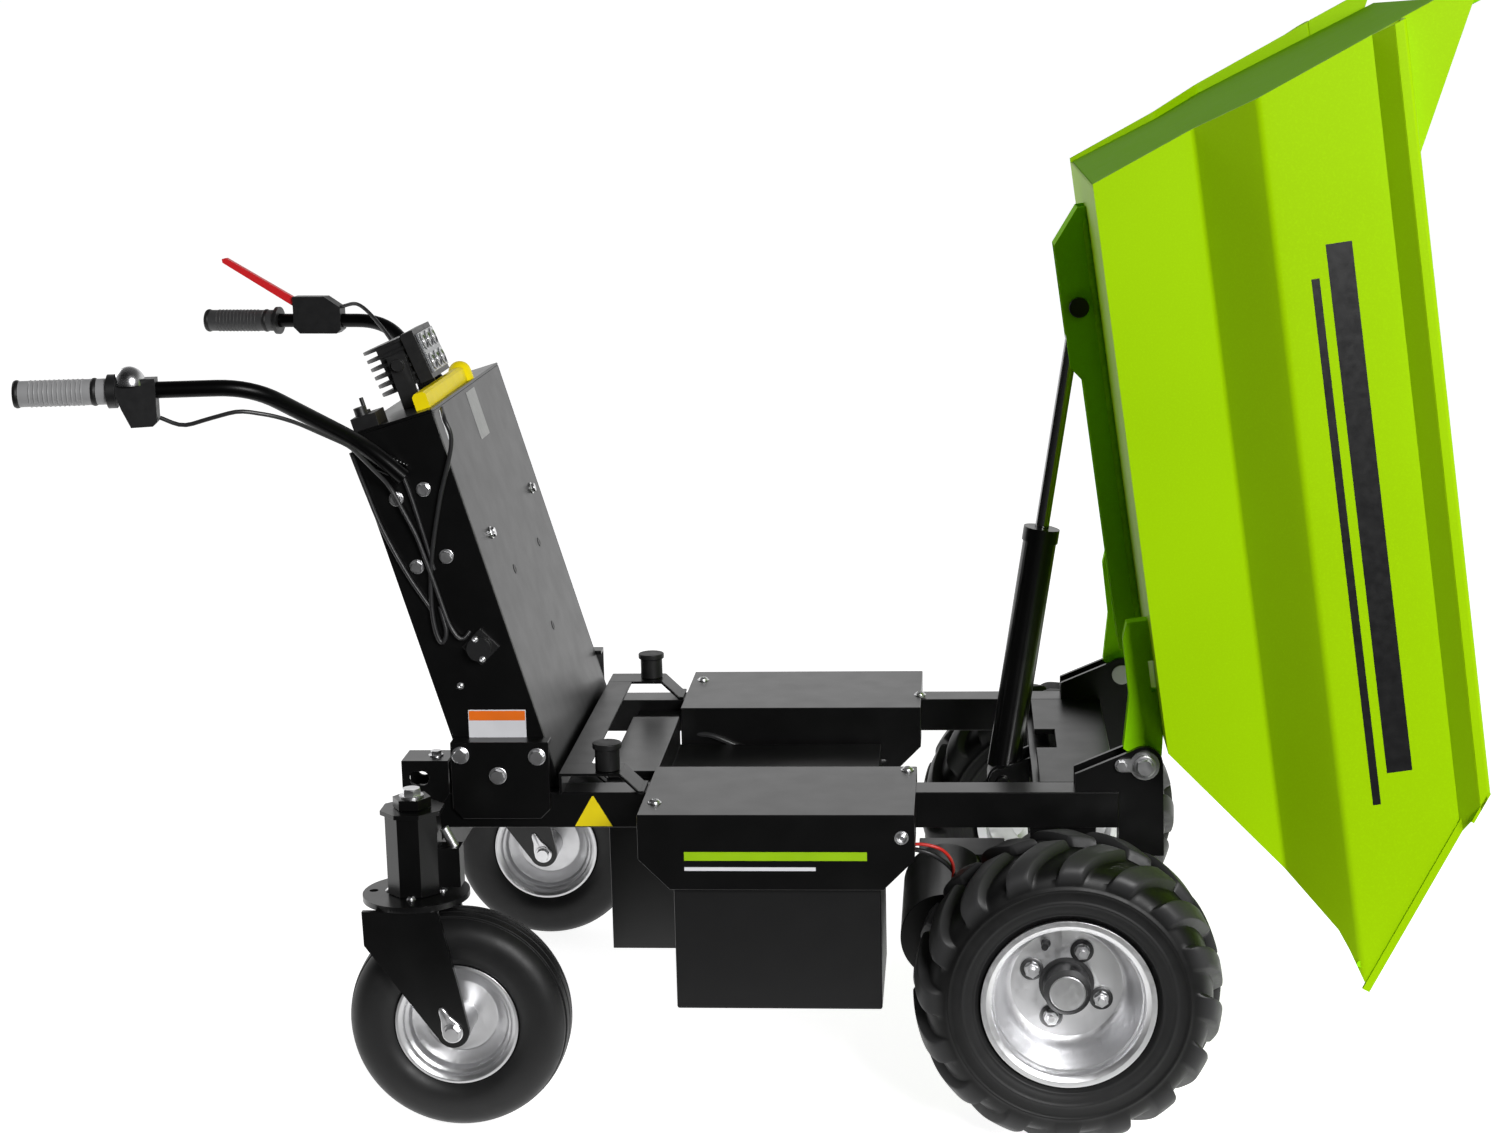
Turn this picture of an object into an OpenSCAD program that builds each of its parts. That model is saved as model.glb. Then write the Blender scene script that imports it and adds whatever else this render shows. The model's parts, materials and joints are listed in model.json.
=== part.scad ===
// Battery site dumper: a steel tub that tips over two driven wheels, a chassis of two
// rails with a battery box under each, two swivelling castors and a leaning control column.
// X points forward to the tub, Y to the left and Z up. The ground is at Z = 0.
// Pieces that come in pairs are drawn on the left and mirrored for the right.

/* [Drive wheels] */
// Radius of a drive tyre over its lugs
drive_r = 203; // [195:1:210]
// Width of a drive tyre
drive_w = 165; // [150:1:175]
// Distance from the middle plane to the middle of a drive tyre
drive_y = 400; // [392:1:412]
// Radius of the seat of a drive tyre on its rim
drive_seat_r = 104; // [96:1:108]
// Width of a drive rim over its flanges
drive_rim_w = 150; // [140:1:156]
// Height of a drive rim's flange over the tyre seat
drive_flange_h = 10; // [6:1:14]
// Depth of the wheel disc behind the outer flange
disc_depth = 80; // [60:1:90]
// Radius of the wheel hub
hub_r = 30; // [26:1:34]
// Length of the hub that stands out of the disc
hub_out = 39; // [25:1:50]
// Circle on which the wheel nuts sit, across its middle
nut_circle_d = 100; // [90:1:120]
// Number of lugs on each half of a drive tyre
lug_n = 16; // [12:1:20]
// Height of a lug over the tyre's carcass
lug_h = 13; // [8:1:16]
// Angle by which the lugs lean from the axle's direction
lug_slant = 42; // [30:1:48]
// Radius of the axle's end inside the hub
spindle_r = 18; // [14:1:22]
// Radius of the axle tube
axle_tube_r = 34; // [28:1:40]

/* [Castors] */
// Radius of a castor tyre
castor_r = 150; // [140:1:155]
// Width of a castor tyre
castor_w = 95; // [85:1:105]
// Radius of the seat of a castor tyre on its rim
castor_seat_r = 76; // [70:1:80]
// Width of a castor rim over its flanges
castor_rim_w = 78; // [70:1:84]
// Distance of the swivel axis behind the drive axle
castor_back = 870; // [850:1:885]
// Distance from the middle plane to a castor's swivel axis
castor_y = 385; // [375:1:395]
// Distance from the swivel axis to the castor's axle
castor_trail = 54; // [40:1:60]
// Free height between a castor tyre and the crown of its fork
crown_gap = 18; // [12:1:24]
// Thickness of the fork's crown and legs
fork_t = 8; // [6:1:10]
// Radius of the fork's crown
crown_r = 72; // [64:1:76]
// Free width between a castor tyre and a leg of its fork
leg_gap = 10; // [8:1:14]
// Radius of the swivel housing
housing_r = 38; // [32:1:42]
// Height of the swivel housing
housing_h = 116; // [100:1:120]
// Radius of the king pin
king_r = 16; // [12:1:20]
// Radius of a castor's axle
castor_axle_r = 8; // [6:1:10]

/* [Chassis] */
// Height of the top of the rails
rail_top = 431; // [425:1:436]
// Width and height of a rail
rail_s = 50; // [40:1:52]
// Wall of a rail
rail_wall = 4; // [3:1:6]
// Distance from the middle plane to the middle of a rail
rail_y = 252; // [246:1:258]
// Front end of the rails
rail_front = 75; // [60:1:85]
// Thickness of the bent plates of the chassis
plate_t = 4; // [3:1:6]
// Height of the buffer bridge over the rails
bridge_h = 29; // [24:1:30]
// Radius of a rubber buffer
buffer_r = 20; // [16:1:24]
// Distance of the buffers behind the drive axle
buffer_back = 622; // [616:1:640]

/* [Boxes and covers] */
// Length of a side cover
cover_l = 368; // [350:1:372]
// Distance of the front end of the side covers behind the drive axle
cover_back = 199; // [190:1:210]
// Distance from the middle plane to the inner side of a cover
cover_in = 162; // [156:1:168]
// Distance from the middle plane to the outer side of a cover
cover_out = 395; // [385:1:400]
// Depth of a cover's skirt at its corners
skirt_h = 62; // [50:1:70]
// Depth of a cover's skirt between its corners
skirt_low = 104; // [90:1:115]
// Length of the slanted stretch at each end of a skirt
skirt_slant = 42; // [30:1:60]
// Length of a battery box
box_l = 277; // [250:1:285]
// Height of the bottom of the battery boxes
box_low = 160; // [140:1:180]
// Free width between a battery box and its cover's skirts
box_gap = 6; // [5:1:10]
// Width of the control box between the rails
control_w = 300; // [280:1:306]
// Distance of the back of the control box behind the drive axle
control_back = 639; // [620:1:645]

/* [Column] */
// Length of the column along its lean
column_l = 549; // [520:1:560]
// Depth of the column across its lean
column_d = 124; // [110:1:130]
// Width of the column
column_w = 510; // [490:1:516]
// Lean of the column from the vertical
column_lean = 16.5; // [14:0.5:18]
// Distance of the foot of the column's front behind the drive axle
column_back = 688; // [684:1:696]
// Thickness of the column's panels
panel_t = 4; // [3:1:6]

/* [Handlebars] */
// Radius of a handlebar tube
bar_r = 11; // [10:0.5:12]
// Radius of a grip
grip_r = 17; // [15:0.5:19]
// Length of a grip
grip_l = 120; // [105:1:130]
// Distance of the grips' back ends behind the drive axle
grip_back = 1350; // [1300:5:1380]
// Distance from the middle plane to the back end of a grip
grip_y = 440; // [420:1:450]
// Height of the grips
grip_z = 1013; // [990:1:1040]
// Distance of the handlebars' bend behind the drive axle
bar_bend = 1050; // [1020:5:1080]
// Distance by which a handlebar comes in between its end and its bend
bar_inset = 42; // [30:1:50]

/* [Tub] */
// Angle at which the tub stands tipped
tip = 82.3; // [70:0.1:84]
// Distance of the tub's pivot in front of the drive axle
pivot_x = 109; // [100:1:115]
// Height of the tub's pivot
pivot_z = 469; // [466:1:475]
// Distance from the front end of the flat floor to the pivot
pivot_ahead = 33; // [25:1:38]
// Drop from the underside of the floor to the pivot
pivot_drop = 30; // [28:1:34]
// Length of the flat floor
floor_l = 745; // [730:1:746]
// Thickness of the tub's sheet
sheet_t = 4; // [3:1:5]
// Height of the rim over the underside of the floor
rim_h = 390; // [370:1:400]
// Height of the lower fold of a side
fold_low = 133; // [120:1:140]
// Height of the upper fold of a side
fold_high = 208; // [195:1:215]
// Half the width of the tub below the folds
tub_low_y = 350; // [340:1:355]
// Half the width of the tub over the folds
tub_high_y = 430; // [420:1:436]
// Width of the rim's flange
rim_w = 28; // [20:1:32]
// Depth of the lip that the rim's flange is turned down by
rim_lip = 25; // [15:1:30]
// Length of the chute in front of the flat floor
chute_l = 255; // [240:1:265]
// Rise of the chute
chute_h = 190; // [180:1:196]
// Length of the lip at the end of the chute
spout_l = 75; // [50:1:85]
// Rise of the lip at the end of the chute
spout_h = 23; // [15:1:30]
// Distance of the rim's front corner ahead of the flat floor
rim_front = 76; // [60:1:90]
// Lean of the back wall
back_lean = 18.5; // [16:0.5:19]
// Distance by which the sides reach past the back wall at the floor
side_past = 6; // [4:1:10]
// Lean of the back edges of the sides
side_lean = 20.5; // [19:0.5:21]
// Height of the back wall over the underside of the floor
back_h = 489; // [470:1:492]
// Length of the raised wings along the rim
wing_l = 175; // [120:1:190]
// Depth of the subframe's spine below the floor
spine_h = 36; // [30:1:38]
// Depth of the spine below the floor at the rod's pin
spine_deep = 51; // [46:1:52]
// Width of the hem along the front edge of a side
hem_w = 10; // [6:1:14]
// Radius of the hinge pins
pin_r = 15; // [12:1:17]
// Radius of the hinge eyes
eye_r = 25; // [23:1:25]

/* [Lift cylinder] */
// Distance of the cylinder's lower pin behind the drive axle
foot_back = 78; // [74:1:82]
// Height of the cylinder's lower pin
foot_z = 375; // [372:1:378]
// Distance of the rod's pin behind the tub's pivot, along the floor
rod_pin_back = 599; // [595:1:603]
// Height of the rod's pin over the tub's pivot, across the floor
rod_pin_up = 2; // [0:1:4]
// Radius of the cylinder's barrel
barrel_r = 24; // [20:1:26]
// Length of the barrel from the lower pin
barrel_l = 373; // [360:1:378]
// Radius of the rod
rod_r = 10; // [8:1:12]
// Length of the rod that stays inside the barrel when it is drawn out
rod_inside = 55; // [50:1:60]
// Radius of the cylinder's pins
lift_pin_r = 9; // [7:1:10]

/* [Hidden] */
$fn = 48;

// Depth of the grip's closed end behind the tube
bar_in_grip = 7;
// Clearance between a pin and the bore that turns on it
run = 0.3;
// Clearance between pieces that are fastened to each other
seat = 0.05;

axle_z = drive_r;
// Radius of the differential's case in the middle of the axle
gearcase_r = 2.2 * axle_tube_r;
rail_low = rail_top - rail_s;
rail_in = rail_y - rail_s / 2;
rail_out = rail_y + rail_s / 2;

// Castor heights and places
castor_x = -castor_back;
crown_z = 2 * castor_r + crown_gap;
housing_z = crown_z + fork_t + 1;
housing_top = housing_z + housing_h;
leg_y = castor_w / 2 + leg_gap;
castor_eye_r = 22;
king_nut_h = 14;

// The column's corners in the side view
column_foot = [-column_back, rail_top];
lean_up = [-sin(column_lean), cos(column_lean)];
lean_back = [-cos(column_lean), -sin(column_lean)];
column_front_top = column_foot + column_l * lean_up;
column_back_top = column_front_top + column_d * lean_back;
column_back_foot = column_foot - [column_d / cos(column_lean), 0];

// The tub's side view, lengths from the front end of the flat floor
back_foot = [-floor_l, 0];
function back_at(h) = [-floor_l - h * tan(back_lean), h];
function side_at(h) = [-floor_l - side_past - h * tan(side_lean), h];
chute_top = [chute_l, chute_h];
spout_tip = chute_top + [spout_l, spout_h];
rim_front_top = [rim_front, rim_h];

// The object's middle along X lies between the grips' ends and the tub's rim
x_front = pivot_x + (rim_front - pivot_ahead) * cos(tip) + (rim_h + pivot_drop) * sin(tip);
bar_slope = atan2(bar_inset, grip_back - bar_bend);
x_back = -grip_back - grip_r * sin(bar_slope);
middle_x = (x_front + x_back) / 2;

// The lift cylinder's pins and length in the tipped pose
foot_pin = [-foot_back, foot_z];
rod_pin = [
  pivot_x - rod_pin_back * cos(tip) + rod_pin_up * sin(tip),
  pivot_z + rod_pin_back * sin(tip) + rod_pin_up * cos(tip)
];
lift_run = rod_pin - foot_pin;
lift_l = norm(lift_run);
lift_angle = atan2(lift_run[0], lift_run[1]);
rod_eye_r = 20;
rod_low = barrel_l - rod_inside;
bore_low = 32;
cheek_in = 32;
cheek_t = 8;

// Ends of the subframe's spine and of its deep stretch, and its height at the back end
spine_back = -703;
spine_front = -72;
deep_back = -655;
deep_front = -483;
spine_end = 12;

// Half the gap between the ears of a hinge, and their thickness
ear_in = 16;
ear_t = 8;
// Drop of the hinge ears below the rails
ear_drop = 40;

// Size of the work lamp's head, and the height of its pivot over the column's top
lamp_w = 95;
lamp_h = 60;
lamp_z = 51;
// Place of the lamp on the column's top
lamp_back = 64;
lamp_y = -57;

// Colours as the machine wears them
black_paint = [0.05, 0.05, 0.05];
grey_paint = [0.42, 0.42, 0.43];
lime = [0.55, 0.78, 0.02];
dark_lime = [0.2, 0.45, 0.03];
zinc = [0.75, 0.76, 0.78];
rubber = [0.06, 0.06, 0.06];

// Places the drawing so that the middle of the object is over the origin
module placed() {
  translate([-middle_x, 0, 0]) children();
}

// Draws a left piece, or mirrors it to the right
module on_side(side) {
  mirror([0, side < 0 ? 1 : 0, 0]) children();
}

// Extrudes a side view from one distance along Y to another
module plate_y(y0, y1) {
  translate([0, y1, 0]) rotate([90, 0, 0]) linear_extrude(y1 - y0) children();
}

// A round bar along Y
module bar_y(x, z, r, y0, y1) {
  translate([x, y0, z]) rotate([-90, 0, 0]) cylinder(r = r, h = y1 - y0);
}

// A box between two corners
module box(low, high) {
  translate(low) cube(high - low);
}

// Puts a piece drawn along the lowered tub into the tipped pose
module tipped() {
  translate([pivot_x, 0, pivot_z])
    rotate([0, tip, 0])
      translate([-pivot_ahead, 0, pivot_drop]) children();
}

// Turns a piece drawn along +Z from the lower pin into the cylinder's line
module along_lift() {
  translate([foot_pin[0], 0, foot_pin[1]]) rotate([0, lift_angle, 0]) children();
}

// Section of a tyre: a rounded ring between its seat and its tread
function tyre_section(r, seat_r, w, power) = [
  for (i = [0:31])
    let(a = 360 * i / 32, c = cos(a), s = sin(a))
      [(r + seat_r) / 2 + (r - seat_r) / 2 * sign(c) * pow(abs(c), 2 / power),
       w / 2 * sign(s) * pow(abs(s), 2 / power)]
];

// Section of a rim: a barrel between two flanges
function rim_section(seat_r, w, flange_h, t) = [
  [seat_r - t, -w / 2],
  [seat_r + flange_h, -w / 2],
  [seat_r + flange_h, -w / 2 + t],
  [seat_r - run, -w / 2 + t],
  [seat_r - run, w / 2 - t],
  [seat_r + flange_h, w / 2 - t],
  [seat_r + flange_h, w / 2],
  [seat_r - t, w / 2]
];

// Rings of points around a path, for a bent tube
function unit(v) = v / norm(v);
function heading(path, i) =
  unit(path[min(i + 1, len(path) - 1)] - path[max(i - 1, 0)]);
function ring(p, dir, r, sides) =
  let(u = unit(cross(dir, [0, 1, 0])), v = cross(dir, u))
    [for (k = [0:sides - 1]) p + r * (cos(360 * k / sides) * u + sin(360 * k / sides) * v)];

// A bent tube of one radius along a path
module bent_tube(path, r, sides) {
  n = len(path);
  points = [for (i = [0:n - 1]) each ring(path[i], heading(path, i), r, sides)];
  walls = [
    for (i = [0:n - 2], k = [0:sides - 1])
      let(a = i * sides, m = (k + 1) % sides)
        [a + k, a + sides + k, a + sides + m, a + m]
  ];
  first = [for (k = [0:sides - 1]) k];
  last = [for (k = [sides - 1:-1:0]) (n - 1) * sides + k];
  polyhedron(points, concat([first], walls, [last]), convexity = 6);
}

// Rounds each inner corner of a path with a quadratic curve
function rounded(path, reach, steps) = [
  path[0],
  for (i = [1:len(path) - 2])
    let(p = path[i],
        a = p + reach * unit(path[i - 1] - p),
        b = p + reach * unit(path[i + 1] - p))
      for (k = [0:steps])
        let(t = k / steps) (1 - t) * (1 - t) * a + 2 * t * (1 - t) * p + t * t * b,
  path[len(path) - 1]
];

// Chassis

module rail(side) {
  placed() color(black_paint) on_side(side)
    difference() {
      box([castor_x - 35, rail_in, rail_low], [rail_front, rail_out, rail_top]);
      box([castor_x - 36, rail_in + rail_wall, rail_low + rail_wall],
          [rail_front + 1, rail_out - rail_wall, rail_top - rail_wall]);
    }
}

module front_cross_plate() {
  placed() color(grey_paint)
    difference() {
      box([-30, -rail_in, rail_top - 8], [rail_front, rail_in, rail_top]);
      box([-31, -50, rail_top - 9], [0, 50, rail_top + 1]);
    }
}

module lift_cross_tube() {
  tube_s = 30;
  x0 = -foot_back + barrel_r + 16;
  x1 = x0 + tube_s;
  placed() color(black_paint)
    difference() {
      box([x0, -rail_in, rail_low], [x1, rail_in, rail_low + tube_s]);
      box([x0 + rail_wall, -rail_in - 1, rail_low + rail_wall],
          [x1 - rail_wall, rail_in + 1, rail_low + tube_s - rail_wall]);
    }
}

module swivel_housing() {
  cap_r = housing_r + 6;
  cap_h = 6;
  block_w = 30;
  block_l = 64;
  block_low = 9;
  block_h = 54;
  rotate([0, 0, 22.5]) {
    cylinder(r = housing_r, h = housing_h, $fn = 8);
    translate([0, 0, housing_h - cap_h]) cylinder(r = cap_r, h = cap_h, $fn = 8);
  }
  box([0, -block_w / 2, block_low], [block_l, block_w / 2, block_low + block_h]);
}

module rear_cross_beam() {
  beam_half = 28;
  placed() color(black_paint)
    difference() {
      union() {
        box([castor_x - beam_half, -castor_y, housing_z + 5],
            [castor_x + beam_half, castor_y, rail_low]);
        for (s = [-1, 1])
          translate([castor_x, s * castor_y, housing_z]) swivel_housing();
      }
      for (s = [-1, 1])
        translate([castor_x, s * castor_y, housing_z - 1]) cylinder(r = king_r + run, h = housing_h + 2);
    }
}

module foot_plate(side) {
  foot_t = 6;
  foot_l = 136;
  corner = 14;
  low = rail_low + corner;
  high = rail_top + 73;
  x1 = -column_back - 12;
  x0 = x1 - foot_l;
  placed() color(black_paint) on_side(side) {
    plate_y(rail_out, rail_out + foot_t)
      polygon([
        [x0, low + corner], [x0 + corner, low], [x1 - corner, low], [x1, low + corner], [x1, high], [x0, high]
      ]);
    box([x0, column_w / 2, high - foot_t], [x1, rail_out + foot_t, high]);
  }
}

module lashing_bracket(side) {
  outer_t = 6;
  hole_r = 10;
  x0 = castor_x - 35;
  x1 = x0 + 65;
  low = rail_low + 29;
  high = rail_top + 47;
  out = rail_out + outer_t;
  placed() color(black_paint) on_side(side)
    difference() {
      union() {
        plate_y(rail_out, out)
          polygon([[x0, low], [x1 - 15, low], [x1, rail_top], [x1, high], [x0, high]]);
        box([x0, rail_in, high - plate_t], [x1, out, high]);
        box([x0, rail_in, rail_top], [x1, rail_in + plate_t, high]);
      }
      for (x = [x0 + 20, x0 + 28])
        bar_y(x, rail_top + 22, hole_r, rail_in - 1, out + 1);
    }
}

module hinge_bracket(side) {
  low = rail_low - ear_drop;
  nose = 16;
  front = pivot_x + eye_r + 2;
  placed() color(black_paint) on_side(side)
    difference() {
      union() {
        for (y = [rail_y - ear_in - ear_t, rail_y + ear_in])
          plate_y(y, y + ear_t) {
            polygon([
              [nose, rail_top], [nose, rail_top + 25], [pivot_x - 8, pivot_z + eye_r - 2],
              [front - 2, pivot_z], [front, low], [rail_front, low], [rail_front, rail_top]
            ]);
            translate([pivot_x, pivot_z]) circle(eye_r);
          }
        plate_y(rail_y - ear_in, rail_y + ear_in)
          polygon([[rail_front, low], [front, low], [front, rail_low], [rail_front, rail_low]]);
      }
      bar_y(pivot_x, pivot_z, pin_r + seat, rail_y - 60, rail_y + 60);
    }
}

module hinge_pins() {
  strap_l = 31;
  strap_t = 4;
  strap_r = 9;
  out = rail_y + ear_in + ear_t + seat;
  placed() color(zinc)
    for (s = [-1, 1])
      on_side(s) {
        bar_y(pivot_x, pivot_z, pin_r, rail_y - ear_in - ear_t - 2, out + strap_t + 4);
        plate_y(out, out + strap_t) {
          translate([pivot_x, pivot_z]) circle(pin_r + 5);
          translate([pivot_x - strap_l, pivot_z]) circle(strap_r);
          translate([pivot_x - strap_l, pivot_z - strap_r]) square([strap_l, 2 * strap_r]);
        }
        bar_y(pivot_x - strap_l, pivot_z, strap_r - 2, out, out + strap_t + 5, $fn = 6);
      }
}

module buffer_bridge() {
  top = rail_top + bridge_h;
  back_x = -column_back + 1;
  fold_x = -buffer_back + buffer_r;
  end_x = -cover_back - cover_l - 3;
  slope_x = end_x - 6;
  placed() color(grey_paint)
    plate_y(-rail_out - 8, rail_out + 8)
      polygon([
        [back_x, rail_top], [back_x, top], [fold_x, top], [slope_x, rail_top + plate_t],
        [end_x, rail_top + plate_t], [end_x, rail_top], [slope_x - 2, rail_top],
        [fold_x - 2, top - plate_t], [back_x + plate_t, top - plate_t], [back_x + plate_t, rail_top]
      ]);
}

module rubber_buffers() {
  low = rail_top + bridge_h;
  high = pivot_z + pivot_drop - 0.6;
  placed() color(rubber)
    for (s = [-1, 1])
      translate([-buffer_back, s * (rail_y + 10), low]) {
        cylinder(r = buffer_r - 3, h = high - low - 8);
        translate([0, 0, high - low - 8]) cylinder(r = buffer_r, h = 8);
      }
}

// Column

module column_profile() {
  polygon([column_foot, column_front_top, column_back_top, column_back_foot]);
}

module column_shell() {
  half = column_w / 2;
  ahead = -2 * panel_t * lean_back;
  behind = (column_d - panel_t) * lean_back;
  low = column_foot - 50 * lean_up;
  high = column_front_top + 50 * lean_up;
  placed() color(black_paint)
    difference() {
      plate_y(-half, half) column_profile();
      plate_y(-half + panel_t, half - panel_t)
        polygon([low + ahead, high + ahead, high + behind, low + behind]);
    }
}

module column_front_cover() {
  half = column_w / 2 - panel_t;
  t = panel_t / cos(column_lean);
  placed() color(grey_paint)
    plate_y(-half, half)
      polygon([
        column_foot, column_front_top, column_front_top + panel_t * lean_back, column_foot - [t, 0]
      ]);
}

module column_top_plate() {
  half = column_w / 2;
  placed() color(grey_paint)
    plate_y(-half, half)
      polygon([
        column_front_top, column_front_top + panel_t * lean_up,
        column_back_top + panel_t * lean_up, column_back_top
      ]);
}

module handlebar(side) {
  foot_y = column_w / 2 + bar_r;
  path = rounded([
    [-grip_back + bar_in_grip, grip_y - bar_in_grip * tan(bar_slope), grip_z],
    [-bar_bend, grip_y - bar_inset, grip_z],
    [-930, foot_y + 12, 915], [-885, foot_y, 870]
  ], 45, 8);
  placed() color(black_paint) on_side(side) bent_tube(path, bar_r, 16);
}

module grip(side) {
  color(rubber)
    on_bar(side, 0)
      difference() {
        cylinder(r = grip_r, h = grip_l);
        translate([0, 0, bar_in_grip - 1]) cylinder(r = bar_r + run, h = grip_l);
      }
}

// Turns a piece drawn on a level plate onto the column's top, a distance behind its front edge
module on_column_top(back, y) {
  at = column_front_top + back * lean_back + panel_t * lean_up;
  translate([at[0], y, at[1]]) rotate([0, -column_lean, 0]) children();
}

// The lamp's head leans back a little more than the column
module lamp_head() {
  on_column_top(lamp_back, lamp_y)
    translate([0, 0, lamp_z]) rotate([0, -6, 0]) children();
}

module work_lamp() {
  half = lamp_w / 2;
  fin_t = 4;
  fin_pitch = 10.4;
  fin_n = 6;
  arm_t = 4;
  arm_w = 22;
  fin_half = half - 3;
  fin_back = [for (a = [90:15:270]) [36 * cos(a) - 8, fin_half * sin(a)]];
  fin = concat([[14, -fin_half], [14, fin_half]], fin_back);
  placed() color(black_paint) {
    on_column_top(lamp_back, lamp_y) {
      box([-arm_w / 2, -half - arm_t - 1, 0], [arm_w / 2, half + arm_t + 1, arm_t]);
      for (s = [-1, 1])
        on_side(s) box([-arm_w / 2, half + 1, 0], [arm_w / 2, half + arm_t + 1, lamp_z + 12]);
    }
    lamp_head() {
      box([14, -half, -lamp_h / 2], [30, half, lamp_h / 2]);
      box([-20, -half + 6, -lamp_h / 2 + 3], [15, half - 6, lamp_h / 2 - 3]);
      for (i = [0:fin_n - 1])
        translate([0, 0, (i - (fin_n - 1) / 2) * fin_pitch - fin_t / 2]) linear_extrude(fin_t) polygon(fin);
      bar_y(0, 0, 7, -half - arm_t - 7, half + arm_t + 7);
    }
  }
}

module lamp_lens() {
  frame_w = 6;
  placed() color([0.8, 0.82, 0.85])
    lamp_head()
      box([30, frame_w - lamp_w / 2, frame_w - lamp_h / 2], [33, lamp_w / 2 - frame_w, lamp_h / 2 - frame_w]);
}

// A yellow bar along the front edge of the column's top, with a round cap at its left end
module emergency_stop() {
  bar_d = 20;
  bar_h = 23;
  corner = 4;
  cap_r = 17;
  right = -column_w / 2 + 40;
  left = 60;
  dome = [for (a = [0:15:90]) [cap_r * cos(a), bar_h - 9 + cap_r * sin(a)]];
  placed() color([0.95, 0.8, 0.05])
    on_column_top(20, 0) {
      plate_y(right, left)
        polygon([
          [-bar_d / 2, 0], [-bar_d / 2, bar_h - corner], [corner - bar_d / 2, bar_h],
          [bar_d / 2 - corner, bar_h], [bar_d / 2, bar_h - corner], [bar_d / 2, 0]
        ]);
      translate([0, left + cap_r - 4, 0]) rotate_extrude() polygon(concat([[0, 0], [cap_r, 0]], dome));
    }
}

module switch_block() {
  box_h = 18;
  placed() color(black_paint)
    on_column_top(column_d - 28, 40 - column_w / 2) {
      box([-18, -30, 0], [18, 24, box_h]);
      translate([-4, -14, box_h]) cylinder(r = 9, h = 12);
      translate([-4, 10, box_h]) cylinder(r = 7, h = 4);
      translate([-4, 10, box_h]) cylinder(r = 3, h = 22);
    }
}

module charge_socket() {
  at = column_foot + 223 * lean_up + 42 * lean_back;
  flange_r = 26;
  flange_t = 4;
  placed() color(black_paint)
    translate([at[0], -column_w / 2, at[1]]) rotate([90, 0, 0]) {
      cylinder(r = flange_r, h = flange_t, $fn = 4);
      translate([0, 0, flange_t]) cylinder(r = 15, h = 10);
      translate([0, 0, flange_t + 10]) cylinder(r = 17, h = 5);
    }
}

// Places a piece on a grip's tube, a distance in front of the tube's back end
module on_bar(side, ahead) {
  placed() on_side(side)
    translate([-grip_back, grip_y, grip_z]) rotate([0, 90, -bar_slope])
      translate([0, 0, ahead]) children();
}

module throttle_unit() {
  collar_r = 22;
  collar_l = 11;
  half = 13;
  low = grip_l + 7;
  high = low + 55;
  dome_r = 20;
  dome_h = 22;
  dome = concat([[0, 0]], [for (a = [0:15:90]) [dome_r * cos(a), dome_h * sin(a)]]);
  color(black_paint)
    on_bar(-1, 0)
      difference() {
        union() {
          translate([0, 0, grip_l + seat]) cylinder(r = collar_r, h = collar_l);
          plate_y(-half, half)
            polygon([
              [-bar_r - 5, low], [-5, low], [23, low + 10], [47, low + 21],
              [46, high - 6], [40, high], [-bar_r - 5, high]
            ]);
          translate([-9, 0, low + 21]) rotate([0, -90, 0]) rotate_extrude() polygon(dome);
        }
        cylinder(r = bar_r + seat, h = high + 1);
      }
}

module brake_lever() {
  collar_r = 22;
  half = 12;
  low = grip_l + 33;
  high = low + 80;
  color(black_paint)
    on_bar(1, 0)
      difference() {
        union() {
          translate([0, 0, grip_l + seat]) cylinder(r = collar_r, h = 6);
          plate_y(-half, half)
            polygon([
              [-39, low], [-39, high - 26], [-22, high], [14, high], [20, high - 8], [20, low + 10], [10, low]
            ]);
        }
        cylinder(r = bar_r + seat, h = high + 1);
      }
}

module lever_blade() {
  root = grip_l + 33 - seat;
  blade_w = 10;
  tip_z = 36;
  color([0.8, 0.08, 0.08])
    on_bar(1, 0)
      plate_y(-blade_w / 2, blade_w / 2)
        polygon([[-22, root], [-37, root], [-101, tip_z + 4], [-99, tip_z - 3], [-93, tip_z - 2]]);
}

// A cable's route down the right handlebar and over the column's side
cable_route = [
  [-1168, -415, 977], [-1140, -412, 964], [-1105, -410, 974], [-1065, -408, 984], [-1025, -390, 974],
  [-1000, -372, 962], [-945, -310, 920], [-905, -268, 860], [-872, -264, 790], [-850, -262, 720],
  [-832, -262, 660], [-815, -266, 640], [-806, -257.8, 655]
];

module control_cable() {
  placed() color(rubber) bent_tube(rounded(cable_route, 14, 3), 3, 8);
}

// Boxes and covers

module cover(side) {
  top = rail_top + plate_t;
  x0 = -cover_back - cover_l;
  x1 = -cover_back;
  skirt = [
    [x0, top], [x1, top], [x1, top - skirt_h], [x1 - skirt_slant, top - skirt_low],
    [x0 + skirt_slant, top - skirt_low], [x0, top - skirt_h]
  ];
  placed() color(black_paint) on_side(side)
    difference() {
      union() {
        box([x0, cover_in, rail_top], [x1, cover_out, top]);
        for (y = [cover_in, cover_out - plate_t])
          plate_y(y, y + plate_t) polygon(skirt);
        for (x = [x0, x1 - plate_t])
          box([x, cover_in, top - skirt_h], [x + plate_t, cover_out, top]);
      }
      box([x0 - 1, rail_in - 2, rail_low - 30], [x1 + 1, rail_out + 2, rail_top]);
    }
}

module battery_box(side) {
  middle = -cover_back - cover_l / 2;
  placed() color(black_paint) on_side(side)
    box([middle - box_l / 2, cover_in + plate_t + box_gap, box_low],
        [middle + box_l / 2, cover_out - plate_t - box_gap, rail_low]);
}

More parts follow.
